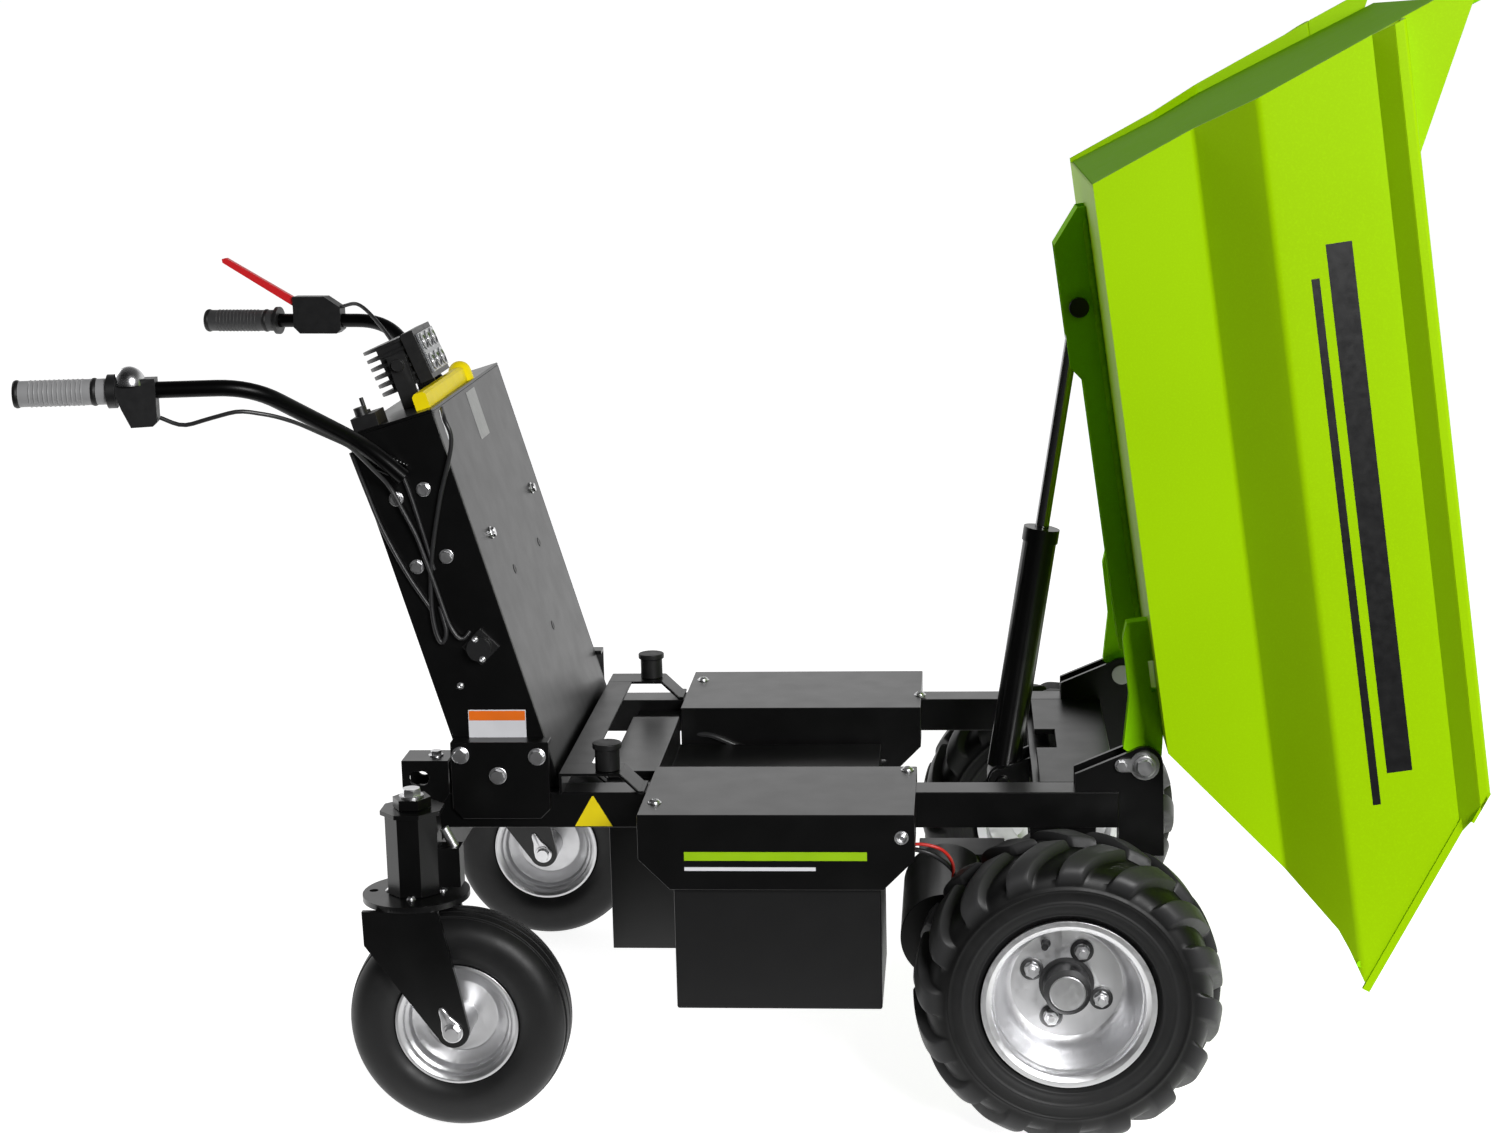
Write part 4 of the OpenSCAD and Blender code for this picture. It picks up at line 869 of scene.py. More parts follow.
def side_sheet(side, corners, radii):
    """A folded sheet: its middle line (y, h), pushed by half a sheet to both sides, runs from back to front.

    A point of the sheet is t = back(h) + u (front(h) - back(h)), with u from 0 to 1.
    """
    line = filleted(corners, radii) if radii else np.array(corners, float)
    pieces = [line[:1]]
    for a, b in zip(line, line[1:]):
        count = max(1, int(np.linalg.norm(b - a) / 12))
        pieces.append(a + (b - a) * np.linspace(0, 1, count + 1)[1:, None])
    line = np.concatenate(pieces)
    ahead = np.gradient(line, axis=0)
    ahead /= np.linalg.norm(ahead, axis=1)[:, None]
    push = np.stack([ahead[:, 1], -ahead[:, 0]], -1) * SHEET / 2
    loop = np.concatenate([line + push, (line - push)[::-1]])
    h = np.clip(loop[:, 1], 0, TUB_RIM_H)
    u = np.concatenate([[0, 0.0008], np.linspace(0.004, 0.996, 40), [0.9992, 1]])[:, None]
    t = tub_back_at(h) + u * (tub_front_at(h) - tub_back_at(h))
    points = tub_point(t, np.broadcast_to(side * loop[:, 0], t.shape), np.broadcast_to(h, t.shape))
    n, half = len(loop), len(line)
    faces = grid_faces(len(u), n, False, True).tolist()
    for start in (0, (len(u) - 1) * n):
        faces += [[start + i, start + i + 1, start + n - 2 - i, start + n - 1 - i] for i in range(half - 1)]
    return points.reshape(-1, 3), faces


def slab(outline, low, high, side):
    """A flat piece on a side of the tub: an outline of (t, h) between two distances from the middle."""
    t, h = np.asarray(outline, float).T
    return prism([tub_point(t, side * y, h) for y in (low, high)])


class DUMPER_OT_tub_sides(bpy.types.Operator):
    """Folds the tub's side panels with their rims, hems and wings"""

    bl_idname = "dumper.tub_sides"
    bl_label = "Tub sides"

    def execute(self, context):
        spout, top = FRONT_EDGE[2:, ::-1]
        length = np.linalg.norm(top - spout)
        way = (top - spout) / length
        inward = np.array([-way[1], way[0]])
        end_start = spout + way * length * (1 - END_H / (top[1] - spout[1]))
        back = tub_back_at(TUB_RIM_H)
        for name, side in SIDES:
            node = "tub_side_" + name
            parts = [side_sheet(side, PANEL, PANEL_RADII), side_sheet(side, RIM_WEB, [])]
            for start, wide, out in ((spout, HEM_W, HEM_OUT), (end_start, END_W, END_OUT)):
                edge = [start, top, top + inward * wide, start + inward * wide]
                parts.append(slab(edge, PANEL_Y, out, side))
            wing = [(back, RIM_H), (back + WING_L, RIM_H), (tub_back_at(WING_H), WING_H)]
            parts.append(slab(wing, WING_IN, WING_OUT, side))
            shape = in_frame(merge(parts))
            piece = make_piece(node + "_finish", shape, body_of(node), "lime_paint", [node], 30.0)
            round_edges(piece, 0.9, 40.0)
        return {"FINISHED"}


# Bolts and plugs


def hex_bolt(size):
    """A hexagon head with a chamfered top on a washer; size is the head's corner radius."""
    washer, rise = 1.8, size * 0.68
    high = washer + rise
    return lathe([
        (0, -2), (size * 1.28, -2), (size * 1.28, washer - 0.3), (size * 1.22, washer), (size, washer, True),
        (size, washer + rise * 0.82, True), (size * 0.88, high), (size * 0.5, high), (0, high),
    ])


def button_bolt(size):
    """A domed head with a hexagon socket on a washer."""
    dome = [(size * math.cos(a), 1.2 + size * 0.62 * math.sin(a)) for a in np.radians([0, 20, 40, 60])]
    high = dome[-1][1]
    return lathe([
        (0, -2), (size * 1.25, -2), (size * 1.25, 0.9), (size * 1.2, 1.2), *dome,
        (size * 0.48, high, True), (size * 0.46, high - 2.2, True), (0, high - 2.2),
    ])


def plug(size):
    """A shallow stopper in a hole."""
    return lathe([(0, -1), (size, -1), (size, 0.5), (size * 0.8, 0.8), (size * 0.55, 0.3), (0, 0.3)])


def pair(node, kind, size, axis, places):
    """The same fittings on both sides: the left node's places and axis are mirrored."""
    mirrored = [(x, -y, z) for x, y, z in places]
    left_axis = tuple(np.multiply(axis, (1.0, -1.0, 1.0)))
    left_node = node.replace("_right", "_left")
    return [(node, kind, size, axis, places), (left_node, kind, size, left_axis, mirrored)]


OUT = tuple(COLUMN_OUT)

# Node, kind of fitting, its size, its axis and the places, in millimetres from the axle
FITTINGS = [
    *pair("column_shell", hex_bolt, 7.8, RIGHT,
          [(-899, -255, 839), (-861, -255, 852), (-834, -255, 759), (-875, -255, 745)]),
    ("column_shell", button_bolt, 4.0, RIGHT, [(-823, -255, 577)]),
    ("charge_socket", button_bolt, 3.6, RIGHT, [(-796, -274, 647), (-787, -274, 619)]),
    ("column_front_cover", hex_bolt, 7.0, OUT, [(-789, -159, 773), (-790, 192, 775)]),
    *pair("foot_plate_right", hex_bolt, 9.5, RIGHT, [
        (-822, -283, 486), (-716, -283, 484), (-771, -283, 457),
    ]),
    ("cover_right", button_bolt, 7.5, UP, [(-549, -339, 435), (-212, -181, 435)]),
    ("cover_left", button_bolt, 7.5, UP, [(-201, 239, 435), (-549, 339, 435)]),
    *pair("cover_right", button_bolt, 7.5, RIGHT, [(-216, -395, 404)]),
    *pair("lashing_bracket_right", hex_bolt, 8.0, UP, [(-862, -254, 478)]),
    *pair("castor_fork_right", button_bolt, 5.0, UP,
          [(-870, -349, 443), (-870, -421, 443), (-834, -385, 443), (-906, -385, 443)]),
    *pair("castor_fork_right", hex_bolt, 13.0, UP, [(-870, -385, 458)]),
    *pair("hinge_pins", hex_bolt, 11.5, RIGHT, [(109, -300, 469)]),
]
# Turn of the first bolt of a row, and from each bolt to the next
BOLT_SPIN, BOLT_SPIN_STEP = 0.4, 0.7
COLUMN_PLUGS = ((-770, -90, 707), (-769, 121, 705), (-737, 27, 598))
# The plug by the spout, as (t, h) on the tub's side
TUB_PLUG = (292, 206)


class DUMPER_OT_fittings(bpy.types.Operator):
    """Seats the plated bolts and the black plugs on the pieces that carry them"""

    bl_idname = "dumper.fittings"
    bl_label = "Bolts and plugs"

    def execute(self, context):
        bodies = {}
        for node, kind, size, axis, places in FITTINGS:
            shapes = bodies.setdefault(body_of(node), [])
            for i, place in enumerate(places):
                spin = BOLT_SPIN + BOLT_SPIN_STEP * i
                shapes.append(set_at(kind(size), seat(node, place, axis), axis, spin))
        for body, shapes in bodies.items():
            make_piece(f"bolts_{body}", merge(shapes), body, "bright_zinc", sharp=25.0)
        holes = [set_at(plug(7.0), seat("column_front_cover", place, OUT), OUT) for place in COLUMN_PLUGS]
        make_piece("column_plugs", merge(holes), body_of("column_shell"), "black_plastic")
        t, h = TUB_PLUG
        hole = set_at(plug(4.5), seat("tub_side_right", tub_point(t, -TUB_SIDE_Y, h), RIGHT), RIGHT)
        # In the lime tinted for the subframe's shade: painted light and shade
        make_piece("tub_plug", hole, body_of("tub_side_right"), "dark_lime_paint")
        return {"FINISHED"}


# Castor fittings

CASTOR_AXLE = (-816.0, 385.0, 150.0)
# A lock plate's round end, its length upwards, its lean and the points round it
LOCK_R, LOCK_TIP, LOCK_SPIN, LOCK_POINTS = 14, 38, 0.42, 64
# Over the axle, where the fork's arm is wide enough to be met
LOCK_SEAT_UP = 17
# The swivel lock's pin in front of the housing: its ends as (x, z) and its radius
SWIVEL_PIN, SWIVEL_PIN_R = ((-815, 388), (-828, 414)), 6.5


def lock_plate():
    """A drop-shaped plate: round below, drawn out to a narrow tip above, 3 mm thick.

    Above the middle the height is 31 s^0.6 + 7 s, with s the sine of the angle, and the half width shrinks
    from 14 to 7.
    """
    a = np.linspace(0, TAU, LOCK_POINTS, endpoint=False)
    lift = np.clip(np.sin(a), 0, None)
    x = np.cos(a) * (LOCK_R - LOCK_R / 2 * smoothstep(-0.1, 0.5, np.sin(a)))
    tip = (LOCK_TIP - LOCK_R / 2) * lift ** 0.6 + LOCK_R / 2 * lift
    ring = np.stack([x, np.where(np.sin(a) < 0, np.sin(a) * LOCK_R, tip)], -1)
    rows = [(0.0, -1.0), (1.0, -1.0), (1.0, 2.4), (0.94, 3.0), (0.0, 3.0)]
    points = np.concatenate([np.column_stack([ring * k, np.full(LOCK_POINTS, z)]) for k, z in rows])
    return points, grid_faces(len(rows), LOCK_POINTS, False, True).tolist()


class DUMPER_OT_castor_fittings(bpy.types.Operator):
    """Adds the lock plates and nuts of the castors' axles"""

    bl_idname = "dumper.castor_fittings"
    bl_label = "Castor fittings"

    def execute(self, context):
        axle_x, axle_y, axle_z = CASTOR_AXLE
        for name, side in SIDES:
            node = "castor_fork_" + name
            shapes = []
            for face in (side, -side):
                axis = (0.0, float(face), 0.0)
                hit = seat(node, (axle_x, side * axle_y, axle_z + LOCK_SEAT_UP), axis)
                hit[2] = axle_z * MM
                shapes.append(set_at(lock_plate(), hit, axis, -LOCK_SPIN * face))
                nut = hit + np.array([0.0, face * 2.8, 0.0]) * MM
                shapes.append(set_at(hex_bolt(10.5), nut, axis, 0.3))
            make_piece(f"axle_locks_{name}", merge(shapes), body_of(node), "bright_zinc", sharp=25.0)
            ends = from_axle([(x, side * axle_y, z) for x, z in SWIVEL_PIN])
            pin = hose(ends, SWIVEL_PIN_R * MM, 16)
            make_piece(f"swivel_pin_{name}", pin, body_of(node), "bright_zinc", sharp=30.0)
        return {"FINISHED"}


# Cords that lie on the column and hang from the bars: name, sheath, radius and knots

CORDS = [
    ("lamp_cord", "cord", 3.2,
     [(-836, -226, 958), (-826, -262, 948), (-818, -264, 915), (-838, -262, 838), (-853, -260, 760),
      (-857, -260, 699), (-853, -262, 660), (-845, -262, 640), (-838, -261, 655), (-846, -258, 690)]),
    ("bar_cord", "cord", 2.8,
     [(-955, -268, 905), (-938, -262, 850), (-919, -260, 797), (-888, -260, 735), (-857, -259, 685)]),
    ("switch_cord", "cord", 2.8,
     [(-912, -274, 902), (-898, -264, 888), (-884, -260, 862), (-866, -260, 800), (-851, -259, 741)]),
    ("brake_cord", "cord", 3.0,
     [(-1120, 402, 1036), (-1085, 380, 1040), (-1040, 335, 1008), (-985, 262, 955), (-940, 190, 925)]),
    ("motor_wire", "red_cord", 2.4,
     [(-215, -277, 356), (-190, -279, 358), (-164, -276, 349), (-150, -262, 325), (-150, -235, 290)]),
    ("motor_wire_dark", "cord", 3.5,
     [(-215, -262, 348), (-180, -264, 340), (-150, -250, 312), (-146, -232, 280)]),
    ("box_cord", "cord", 4.0,
     [(-560, 172, 392), (-520, 160, 392), (-470, 159, 372), (-400, 159, 352), (-300, 160, 350),
      (-225, 170, 352)]),
]


class DUMPER_OT_cords(bpy.types.Operator):
    """Lays the cords on the column and between the boxes"""

    bl_idname = "dumper.cords"
    bl_label = "Cords"

    def execute(self, context):
        for name, sheath, radius, knots in CORDS:
            cord = hose(from_axle(flow(knots)), radius * MM)
            make_piece(name, cord, body_of("column_shell"), sheath, sharp=50.0)
        return {"FINISHED"}


# Controls

# The end of the left grip, the angle by which the grips point inwards, and the grips' radius
GRIP_END = np.array([-1350.0, 440.0, 1013.0])
GRIP_SLOPE = math.atan2(42, 300)
GRIP_R = 17.1
# Ribs along a grip and rings at its ends: middles, width and rise
RIBS = (np.arange(22, 92, 6.0), 2.4, 0.7)
END_RINGS = ((4, 103), 7, 1.3)
# The bright cap on the throttle: radius, rise, and its place along the grip and over it
CAP_R, CAP_RISE, CAP_ALONG, CAP_UP = 20.7, 22.8, 148, 9.0
# Reflectors of the lamp, across and up from the lens's middle
REFLECTORS = [(a, b) for a in (-27, 0, 27) for b in (-12.5, 12.5)]
REFLECTOR_CUP = [
    (0, -1.2), (10.5, -1.2), (10.5, 0.7), (9.6, 0.9), (8.6, -0.4), (4.2, -0.9), (3.8, 0.2), (0, 0.5),
]
# The core behind the lamp's fins: half sizes, squareness, and rows of a share of them and a depth
CORE_W, CORE_H, CORE_POWER, CORE_POINTS = 37, 23, 0.4, 48
CORE_ROWS = [(0.0, -52.0), (0.7, -51.0), (0.95, -44.0), (1.0, -36.0), (1.0, -18.0), (0.0, -18.0)]


def band(radius, middle, width, rise):
    """A rounded band round a bar: a half sine over its width."""
    u = np.linspace(0, 1, 9)
    rows = [(radius - 1.0, middle - width / 2)]
    rows += [(radius + rise * math.sin(math.pi * v), middle + width * (v - 0.5)) for v in u]
    return lathe(rows + [(radius - 1.0, middle + width / 2)], 40)


def rounded_power(value):
    """A sine or cosine of a squarish ring: its size to a power, with its sign kept."""
    return np.sign(value) * np.abs(value) ** CORE_POWER


class DUMPER_OT_controls(bpy.types.Operator):
    """Adds ribs and end rings to the grips, lights to the lamp and a cap to the throttle"""

    bl_idname = "dumper.controls"
    bl_label = "Controls"

    def execute(self, context):
        body = body_of("grip_right")
        for name, side in SIDES:
            end = from_axle(GRIP_END * (1, side, 1))
            axis = (math.cos(GRIP_SLOPE), -side * math.sin(GRIP_SLOPE), 0.0)
            finish = "grey_rubber" if side < 0 else "grip_rubber"
            for kind, colour, (middles, width, rise) in (
                    ("ribs", finish, RIBS), ("rings", "soft_rubber", END_RINGS)):
                bands = [set_at(band(GRIP_R, middle, width, rise), end, axis) for middle in middles]
                make_piece(f"grip_{kind}_{name}", merge(bands), body, colour, sharp=50.0)
        self.lights(body)
        a = np.radians(np.arange(0, 91, 9))
        shell = lathe([(19.0, -1.0), (CAP_R, -1.0), *zip(CAP_R * np.cos(a), CAP_RISE * np.sin(a))], 40)
        along = np.array([math.cos(GRIP_SLOPE), math.sin(GRIP_SLOPE), 0.0])
        place = GRIP_END * (1, -1, 1) + CAP_ALONG * along + np.array([0.0, 0.0, CAP_UP])
        make_piece("throttle_cap", set_at(shell, from_axle(place), UP), body, "bright_chrome", sharp=40.0)
        return {"FINISHED"}

    def lights(self, body):
        """Six reflectors in two rows on the lens's largest face, and the core behind the fins."""
        mesh = frame["nodes"]["lamp_lens"].data
        face = max((p for p in mesh.polygons if p.normal.x > 0.5), key=lambda p: p.area)
        low, high = (np.array(corner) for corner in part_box("lamp_lens"))
        middle = (low + high) / 2
        axis = np.array(face.normal)
        across = np.array([0.0, 1.0, 0.0])
        up = np.cross(axis, across)
        up *= np.sign(up[2])
        depth = np.dot(np.array(mesh.vertices[face.vertices[0]].co) - middle, axis)
        cup = lathe(REFLECTOR_CUP, 32)
        front = middle + axis * (depth + 0.4 * MM)
        points, faces = merge([set_at(cup, front + (across * a + up * b) * MM, axis) for a, b in REFLECTORS])
        make_piece("lamp_reflectors", (grow_lamp(points), faces), body, "bright_chrome", sharp=25.0)
        a = np.linspace(0, TAU, CORE_POINTS, endpoint=False)
        bend = np.stack([CORE_W * rounded_power(np.cos(a)), CORE_H * rounded_power(np.sin(a))], -1)
        rings = [np.column_stack([bend * k, np.full(CORE_POINTS, d)]) for k, d in CORE_ROWS]
        core = middle + axis * depth + np.concatenate(rings) * MM @ np.stack([across, up, axis])
        faces = grid_faces(len(CORE_ROWS), CORE_POINTS, False, True)
        make_piece("lamp_core", (grow_lamp(core), faces), body, "lamp_casting", sharp=40.0)


# Plates and stripes


def side_quad(x0, x1, z0, z1, y):
    """Corners of an upright rectangle on a side of the machine."""
    return [(x0, y, z0), (x1, y, z0), (x1, y, z1), (x0, y, z1)]


def front_quad(low, high, right, left):
    """Corners of a rectangle on the column's front, between two heights along it."""
    return [column_point(a, y) for a, y in ((low, right), (low, left), (high, left), (high, right))]


def tub_quad(t0, t1, h0, h1):
    """Corners of a rectangle on the tub's right side."""
    return [tub_point(t, -TUB_SIDE_Y, h) for t, h in ((t0, h0), (t1, h0), (t1, h1), (t0, h1))]


# The blank sign by the column: a triangle whose tip is 2 mm wide
SIGN = [(-668, -277, 383), (-616, -277, 383), (-641, -277, 426), (-643, -277, 426)]
# Name, node, corners, axis, finish and height over the sheet
FILMS = [
    ("plate_base", "column_shell", side_quad(-814, -734, 501, 543, -255), RIGHT, "white_film", 0.4),
    ("plate_band", "column_shell", side_quad(-813, -735, 528, 541.5, -255), RIGHT, "orange_film", 0.7),
    ("sign_blank", "rail_right", SIGN, RIGHT, "yellow_film", 0.4),
    ("front_plate_pale", "column_front_cover", front_quad(503, 545, -217, -190), OUT, "white_film", 0.4),
    ("front_plate_grey", "column_front_cover", front_quad(472, 543, -24, 41), OUT, "grey_film", 0.4),
    ("cover_stripe_lime", "cover_right", side_quad(-505, -262, 372, 384, -395), RIGHT, "lime_film", 0.4),
    ("cover_stripe_pale", "cover_right", side_quad(-505, -330, 358, 363, -395), RIGHT, "white_film", 0.4),
    ("tub_stripe_wide", "tub_side_right", tub_quad(-640, 40, 268, 300), RIGHT, "black_film", 0.4),
    ("tub_stripe_thin", "tub_side_right", tub_quad(-600, 80, 246, 256), RIGHT, "black_film", 0.4),
]


class DUMPER_OT_films(bpy.types.Operator):
    """Lays the blank plates and the plain stripes on the sheet metal"""

    bl_idname = "dumper.films"
    bl_label = "Plates and stripes"

    def execute(self, context):
        for name, node, corners, axis, finish, lift in FILMS:
            make_piece(name, film(node, corners, axis, lift=lift), body_of(node), finish)
        return {"FINISHED"}


# Welds

# Beads of the handlebars on the column's side as (x, z) of both ends, and that of the foot plate
BAR_WELDS = (((-930, 884), (-890, 866)), ((-916, 902), (-880, 884)))
BAR_WELD_Y, FOOT_WELD_Y = 256, 256.5
FOOT_WELD = ((-826, 500), (-712, 500))
# Beads along the spine under the tub: from and to, distance from the middle and drop
SPINE_FROM, SPINE_TO, SPINE_Y, SPINE_DROP = -690, -85, 40.5, -3.5


class DUMPER_OT_welds(bpy.types.Operator):
    """Runs weld beads where plates and tubes meet"""

    bl_idname = "dumper.welds"
    bl_label = "Welds"

    def execute(self, context):
        black, lime = [], []
        for _, side in SIDES:
            lines = [(*ends, BAR_WELD_Y, 2.6) for ends in BAR_WELDS] + [(*FOOT_WELD, FOOT_WELD_Y, 2.4)]
            for (x0, z0), (x1, z1), y, radius in lines:
                black.append(bead((x0, side * y, z0), (x1, side * y, z1), radius))
            start, end = (tub_point(t, side * SPINE_Y, SPINE_DROP) for t in (SPINE_FROM, SPINE_TO))
            lime.append(bead(start, end, 4.6))
        make_piece("column_welds", in_frame(merge(black)), body_of("column_shell"), "frame_paint", sharp=60.0)
        # The spine's beads in the lime tinted for the subframe's shade: painted light and shade
        make_piece("tub_welds", in_frame(merge(lime)), body_of("tub_floor"), "dark_lime_paint", sharp=60.0)
        return {"FINISHED"}


# Rim fittings, measured from the wheel's centre outwards

# The dark sleeve round the hub, the washers under the nuts and the bright end of the hub, as (r, out)
HUB_SLEEVE = [
    (29, -4.8), (36.5, -4.8), (36.5, -3.4), (31.0, -3.0), (31.0, 29.0), (25.6, 34.3), (24.0, 34.3),
    (23.0, 33.0),
]
NUT_WASHER = [(10.4, -4.6), (15.5, -4.6), (15.5, -3.4), (14, -2.6), (11, -2.6), (10.4, -3.0)]
HUB_END = [(0, 33.2), (23.4, 33.2), (23.4, 34.6), (22.4, 35.4), (0, 35.4)]
# The nuts' circle and angles
NUT_CIRCLE_R, NUT_ANGLES = 50, (66, 156, -24, -114)
# The valve: its angle, its foot and tip as (r, out), and its radius along its length
VALVE_ANGLE, VALVE_FOOT, VALVE_TIP = 116, (62, -4.0), (68, 27.0)
VALVE_SHARES = [0, 0.15, 0.3, 0.6, 0.62, 0.95, 1.0]
VALVE_RADII = [6.5, 6.0, 4.4, 4.0, 4.6, 4.6, 3.6]


def on_wheel(radius, degrees, out=0.0):
    """A place by a wheel's centre, in metres: a radius at an angle, and a distance along the axle."""
    a = math.radians(degrees)
    return np.array([radius * math.cos(a), out, radius * math.sin(a)]) * MM


class DUMPER_OT_rim_fittings(bpy.types.Operator):
    """Adds the tyre valves, nut washers and bright hub ends to the drive rims"""

    bl_idname = "dumper.rim_fittings"
    bl_label = "Rim fittings"

    def execute(self, context):
        u = np.linspace(0, 1, 14)[:, None]
        radius = np.interp(u[:, 0], VALVE_SHARES, VALVE_RADII) * MM
        for name, side in SIDES:
            body = body_of("drive_rim_" + name)
            centre = np.array(JOINTS["drive_spin_" + name]["pos_m"])
            axis = (0.0, float(side), 0.0)
            washer = lathe(NUT_WASHER, 32)
            dark = [set_at(lathe(HUB_SLEEVE, 48), centre, axis)]
            dark += [set_at(washer, centre + on_wheel(NUT_CIRCLE_R, angle), axis) for angle in NUT_ANGLES]
            make_piece(f"rim_washers_{name}", merge(dark), body, "dull_zinc")
            make_piece(f"hub_end_{name}", set_at(lathe(HUB_END, 40), centre, axis), body, "bright_zinc")
            foot, tip = (centre + on_wheel(r, VALVE_ANGLE, side * out) for r, out in (VALVE_FOOT, VALVE_TIP))
            valve = hose(foot + u * (tip - foot), radius, 18)
            make_piece(f"valve_{name}", valve, body, "black_plastic", sharp=40.0)
        return {"FINISHED"}


# Stage, in metres

FLOOR_RADII = np.array([0.0, 0.5, 1.0, 2.0, 4.0, 8.0, 16.0, 60.0, 240.0])
# Between these places across, what the floor throws back rises from dark to full
DARK_UNTIL_M, PALE_FROM_M = -0.95, -0.5
# Name, place, target, size and share of the key light's power
LAMPS = (
    ("key", (2.3, -4.3, 2.7), (0.6, -0.2, 0.8), 1.8, 1.0),
    ("rim", (-3.4, 1.6, 2.2), (-0.3, 0.0, 0.6), 1.6, 0.08),
)


def aim(place, target):
    """Matrix of a lamp at a place that looks at a target."""
    way = Vector(target) - Vector(place)
    return Matrix.Translation(place) @ way.to_track_quat("-Z", "Y").to_matrix().to_4x4()


def soft_step(tree, value, start, end, low, high):
    """A smooth way from one level to another while a value passes between two limits."""
    node = tree.nodes.new("ShaderNodeMapRange")
    node.interpolation_type = "SMOOTHSTEP"
    for key, number in (("From Min", start), ("From Max", end), ("To Min", low), ("To Max", high)):
        node.inputs[key].default_value = number
    tree.links.new(value, node.inputs["Value"])
    return node.outputs["Result"]


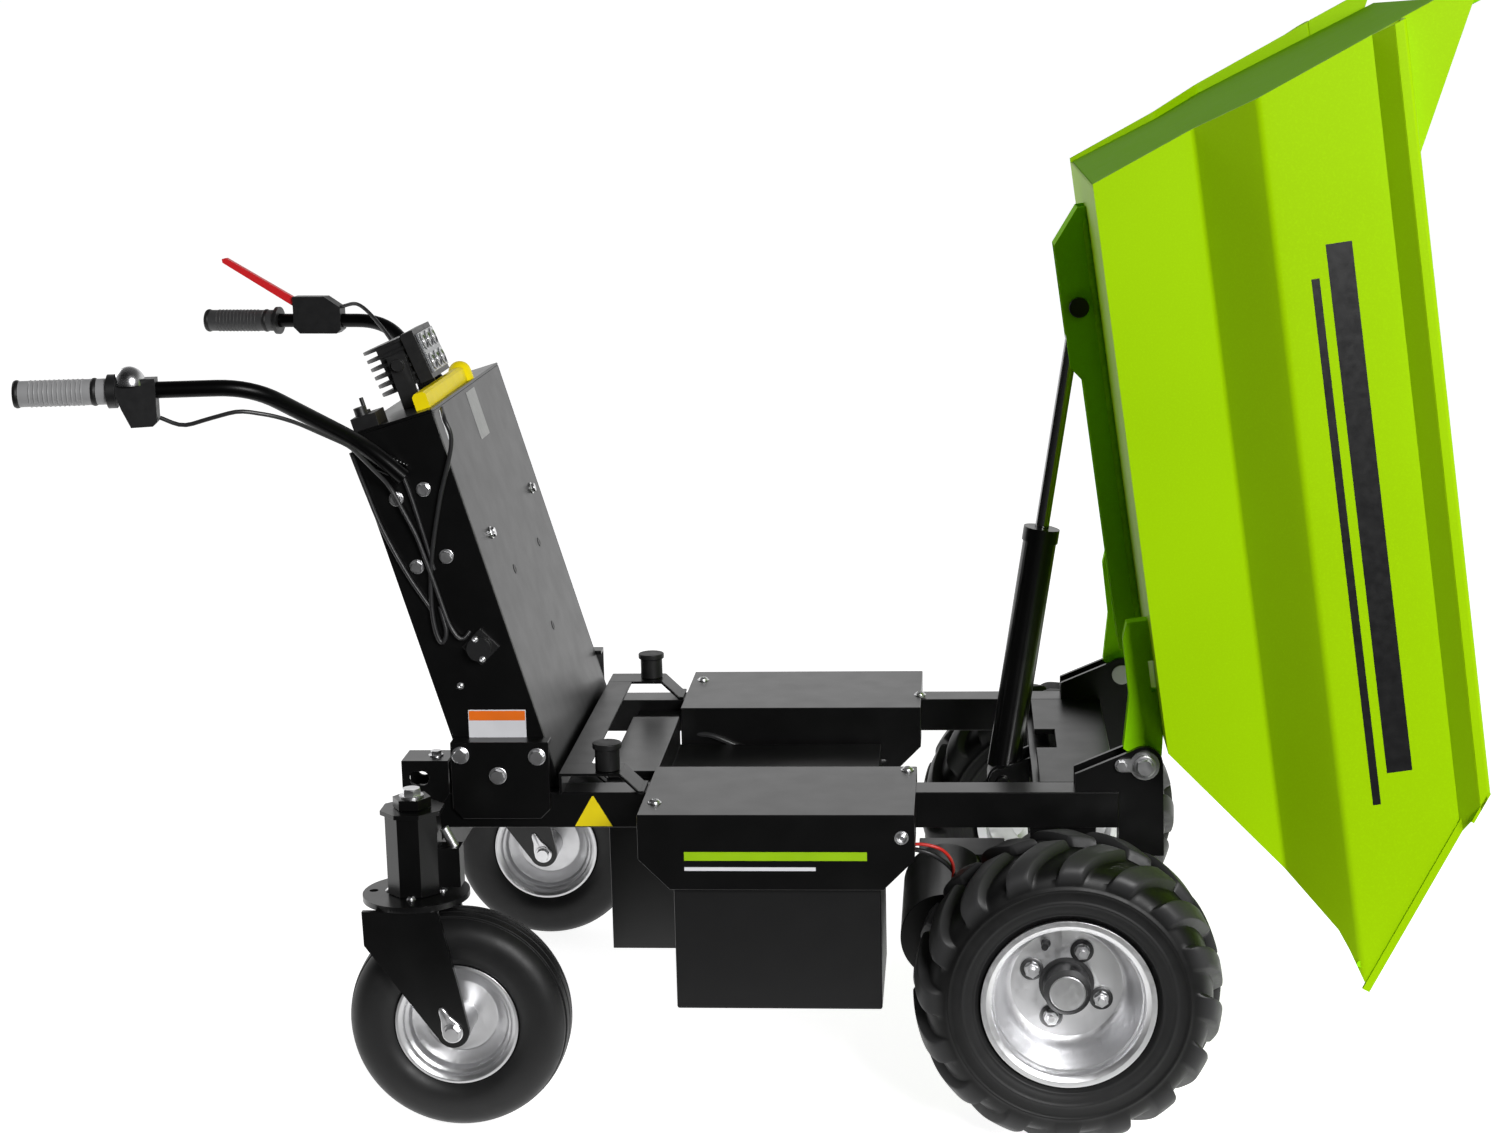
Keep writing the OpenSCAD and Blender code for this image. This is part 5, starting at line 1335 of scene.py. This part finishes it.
class DUMPER_OT_stage(bpy.types.Operator):
    """Sets the pale floor, the soft light and the camera"""

    bl_idname = "dumper.stage"
    bl_label = "Stage"

    def execute(self, context):
        settings = context.scene.dumper_stage
        self.floor(settings.floor_glow)
        self.sky(context.scene, settings)
        self.lamps(settings)
        self.camera(context.scene, settings)
        context.scene.view_settings.view_transform = "Standard"
        return {"FINISHED"}

    def floor(self, glow):
        """A wide pale disc: rings of points around the origin."""
        angles = np.linspace(0, TAU, 96, endpoint=False)
        flat = np.zeros((FLOOR_RADII.size, angles.size))
        points = np.stack([
            np.outer(FLOOR_RADII, np.cos(angles)), np.outer(FLOOR_RADII, np.sin(angles)), flat,
        ], -1)
        faces = grid_faces(FLOOR_RADII.size, angles.size, False, True)
        mesh = bpy.data.meshes.new("floor")
        mesh.from_pydata(points.reshape(-1, 3).tolist(), [], faces.tolist())
        mesh.materials.append(self.floor_finish(glow))
        floor = bpy.data.objects.new("floor", mesh)
        bpy.context.scene.collection.objects.link(floor)

    def floor_finish(self, glow):
        """Pale to the camera. To all other rays it is dark in front of the machine, as a dark cloth would be."""
        s = Shader("Pale floor")
        s.surface.inputs["Specular IOR Level"].default_value = 0.0
        s.surface.inputs["Emission Color"].default_value = (1.0, 1.0, 1.0, 1.0)
        split = s.add("ShaderNodeSeparateXYZ", vector=s.where)
        larger = s.tree.nodes.new("ShaderNodeMath")
        larger.operation = "MAXIMUM"
        s.feed(larger.inputs[0], s.spread(split.outputs["Y"], 0.0, 1.0, DARK_UNTIL_M, PALE_FROM_M))
        s.feed(larger.inputs[1], s.tree.nodes.new("ShaderNodeLightPath").outputs["Is Camera Ray"])
        lit = larger.outputs[0]
        tone = s.spread(s.noise(0.8, 2.0), 0.0, 1.0)
        pale = s.mix(tone, (0.78, 0.78, 0.78), (0.82, 0.82, 0.82))
        s.feed(s.surface.inputs["Emission Strength"], s.spread(lit, 0.01, glow, 0.0, 1.0))
        return s.finish(base_color=s.mix(lit, (0.03, 0.03, 0.03), pale), roughness=0.9)

    def sky(self, scene, settings):
        """Surroundings that are bright low behind the machine, dark overhead and behind the camera."""
        world = bpy.data.worlds.new("Studio")
        world.use_nodes = True
        tree = world.node_tree
        place = tree.nodes.new("ShaderNodeTexCoord")
        split = tree.nodes.new("ShaderNodeSeparateXYZ")
        tree.links.new(place.outputs["Generated"], split.inputs[0])
        shade = tree.nodes.new("ShaderNodeMath")
        shade.operation = "MULTIPLY"
        behind = soft_step(tree, split.outputs["Y"], -0.5, 0.7, settings.sky_low, settings.sky_high)
        overhead = soft_step(tree, split.outputs["Z"], 0.25, 0.75, 1.0, 0.18)
        tree.links.new(behind, shade.inputs[0])
        tree.links.new(overhead, shade.inputs[1])
        back = tree.nodes["Background"]
        back.inputs["Color"].default_value = (1.0, 1.0, 1.0, 1.0)
        tree.links.new(shade.outputs[0], back.inputs["Strength"])
        scene.world = world

    def lamps(self, settings):
        """A large soft lamp in front on the right, and a weak one behind on the left."""
        for name, place, target, size, share in LAMPS:
            data = bpy.data.lights.new(name, "AREA")
            data.energy = settings.key_power * share
            data.size = size
            lamp = bpy.data.objects.new(name, data)
            lamp.matrix_world = aim(place, target)
            bpy.context.scene.collection.objects.link(lamp)

    def camera(self, scene, settings):
        """The photograph's viewing angle."""
        data = bpy.data.cameras.new("camera")
        data.lens = settings.camera_lens
        data.sensor_width = 36.0
        data.sensor_fit = "HORIZONTAL"
        camera = bpy.data.objects.new("camera", data)
        place = Vector(settings.camera_place) + Vector((AXLE_X_M, 0.0, 0.0))
        turn = Matrix.Rotation(settings.camera_yaw, 4, "Z") @ Matrix.Rotation(
            math.pi / 2 - settings.camera_pitch, 4, "X") @ Matrix.Rotation(settings.camera_roll, 4, "Z")
        camera.matrix_world = Matrix.Translation(place) @ turn
        scene.collection.objects.link(camera)
        scene.camera = camera


class DUMPER_PT_panel(bpy.types.Panel):
    """Lists the steps in the order in which they are run"""

    bl_idname = "DUMPER_PT_panel"
    bl_label = "Site dumper"
    bl_space_type = "VIEW_3D"
    bl_region_type = "UI"
    bl_category = "Dumper"

    def draw(self, context):
        for operator in STEPS:
            self.layout.operator(operator.bl_idname)


STEPS = (
    DUMPER_OT_steelwork, DUMPER_OT_buffer_bridge, DUMPER_OT_tub_sides, DUMPER_OT_drive_tyres,
    DUMPER_OT_fittings, DUMPER_OT_castor_fittings, DUMPER_OT_cords, DUMPER_OT_controls, DUMPER_OT_films,
    DUMPER_OT_welds, DUMPER_OT_rim_fittings, DUMPER_OT_stage,
)
GROUPS = {"dumper_colours": DumperColours, "dumper_tyres": DumperTyres, "dumper_stage": DumperStage}


def register():
    for group in GROUPS.values():
        bpy.utils.register_class(group)
    for name, group in GROUPS.items():
        setattr(bpy.types.Scene, name, PointerProperty(type=group))
    for cls in (*STEPS, DUMPER_PT_panel):
        bpy.utils.register_class(cls)


def unregister():
    for cls in (DUMPER_PT_panel, *reversed(STEPS)):
        bpy.utils.unregister_class(cls)
    for name in GROUPS:
        delattr(bpy.types.Scene, name)
    for group in reversed(GROUPS.values()):
        bpy.utils.unregister_class(group)


def main():
    register()
    for step in STEPS:
        group, name = step.bl_idname.split(".")
        getattr(getattr(bpy.ops, group), name)()


if __name__ == "__main__":
    main()
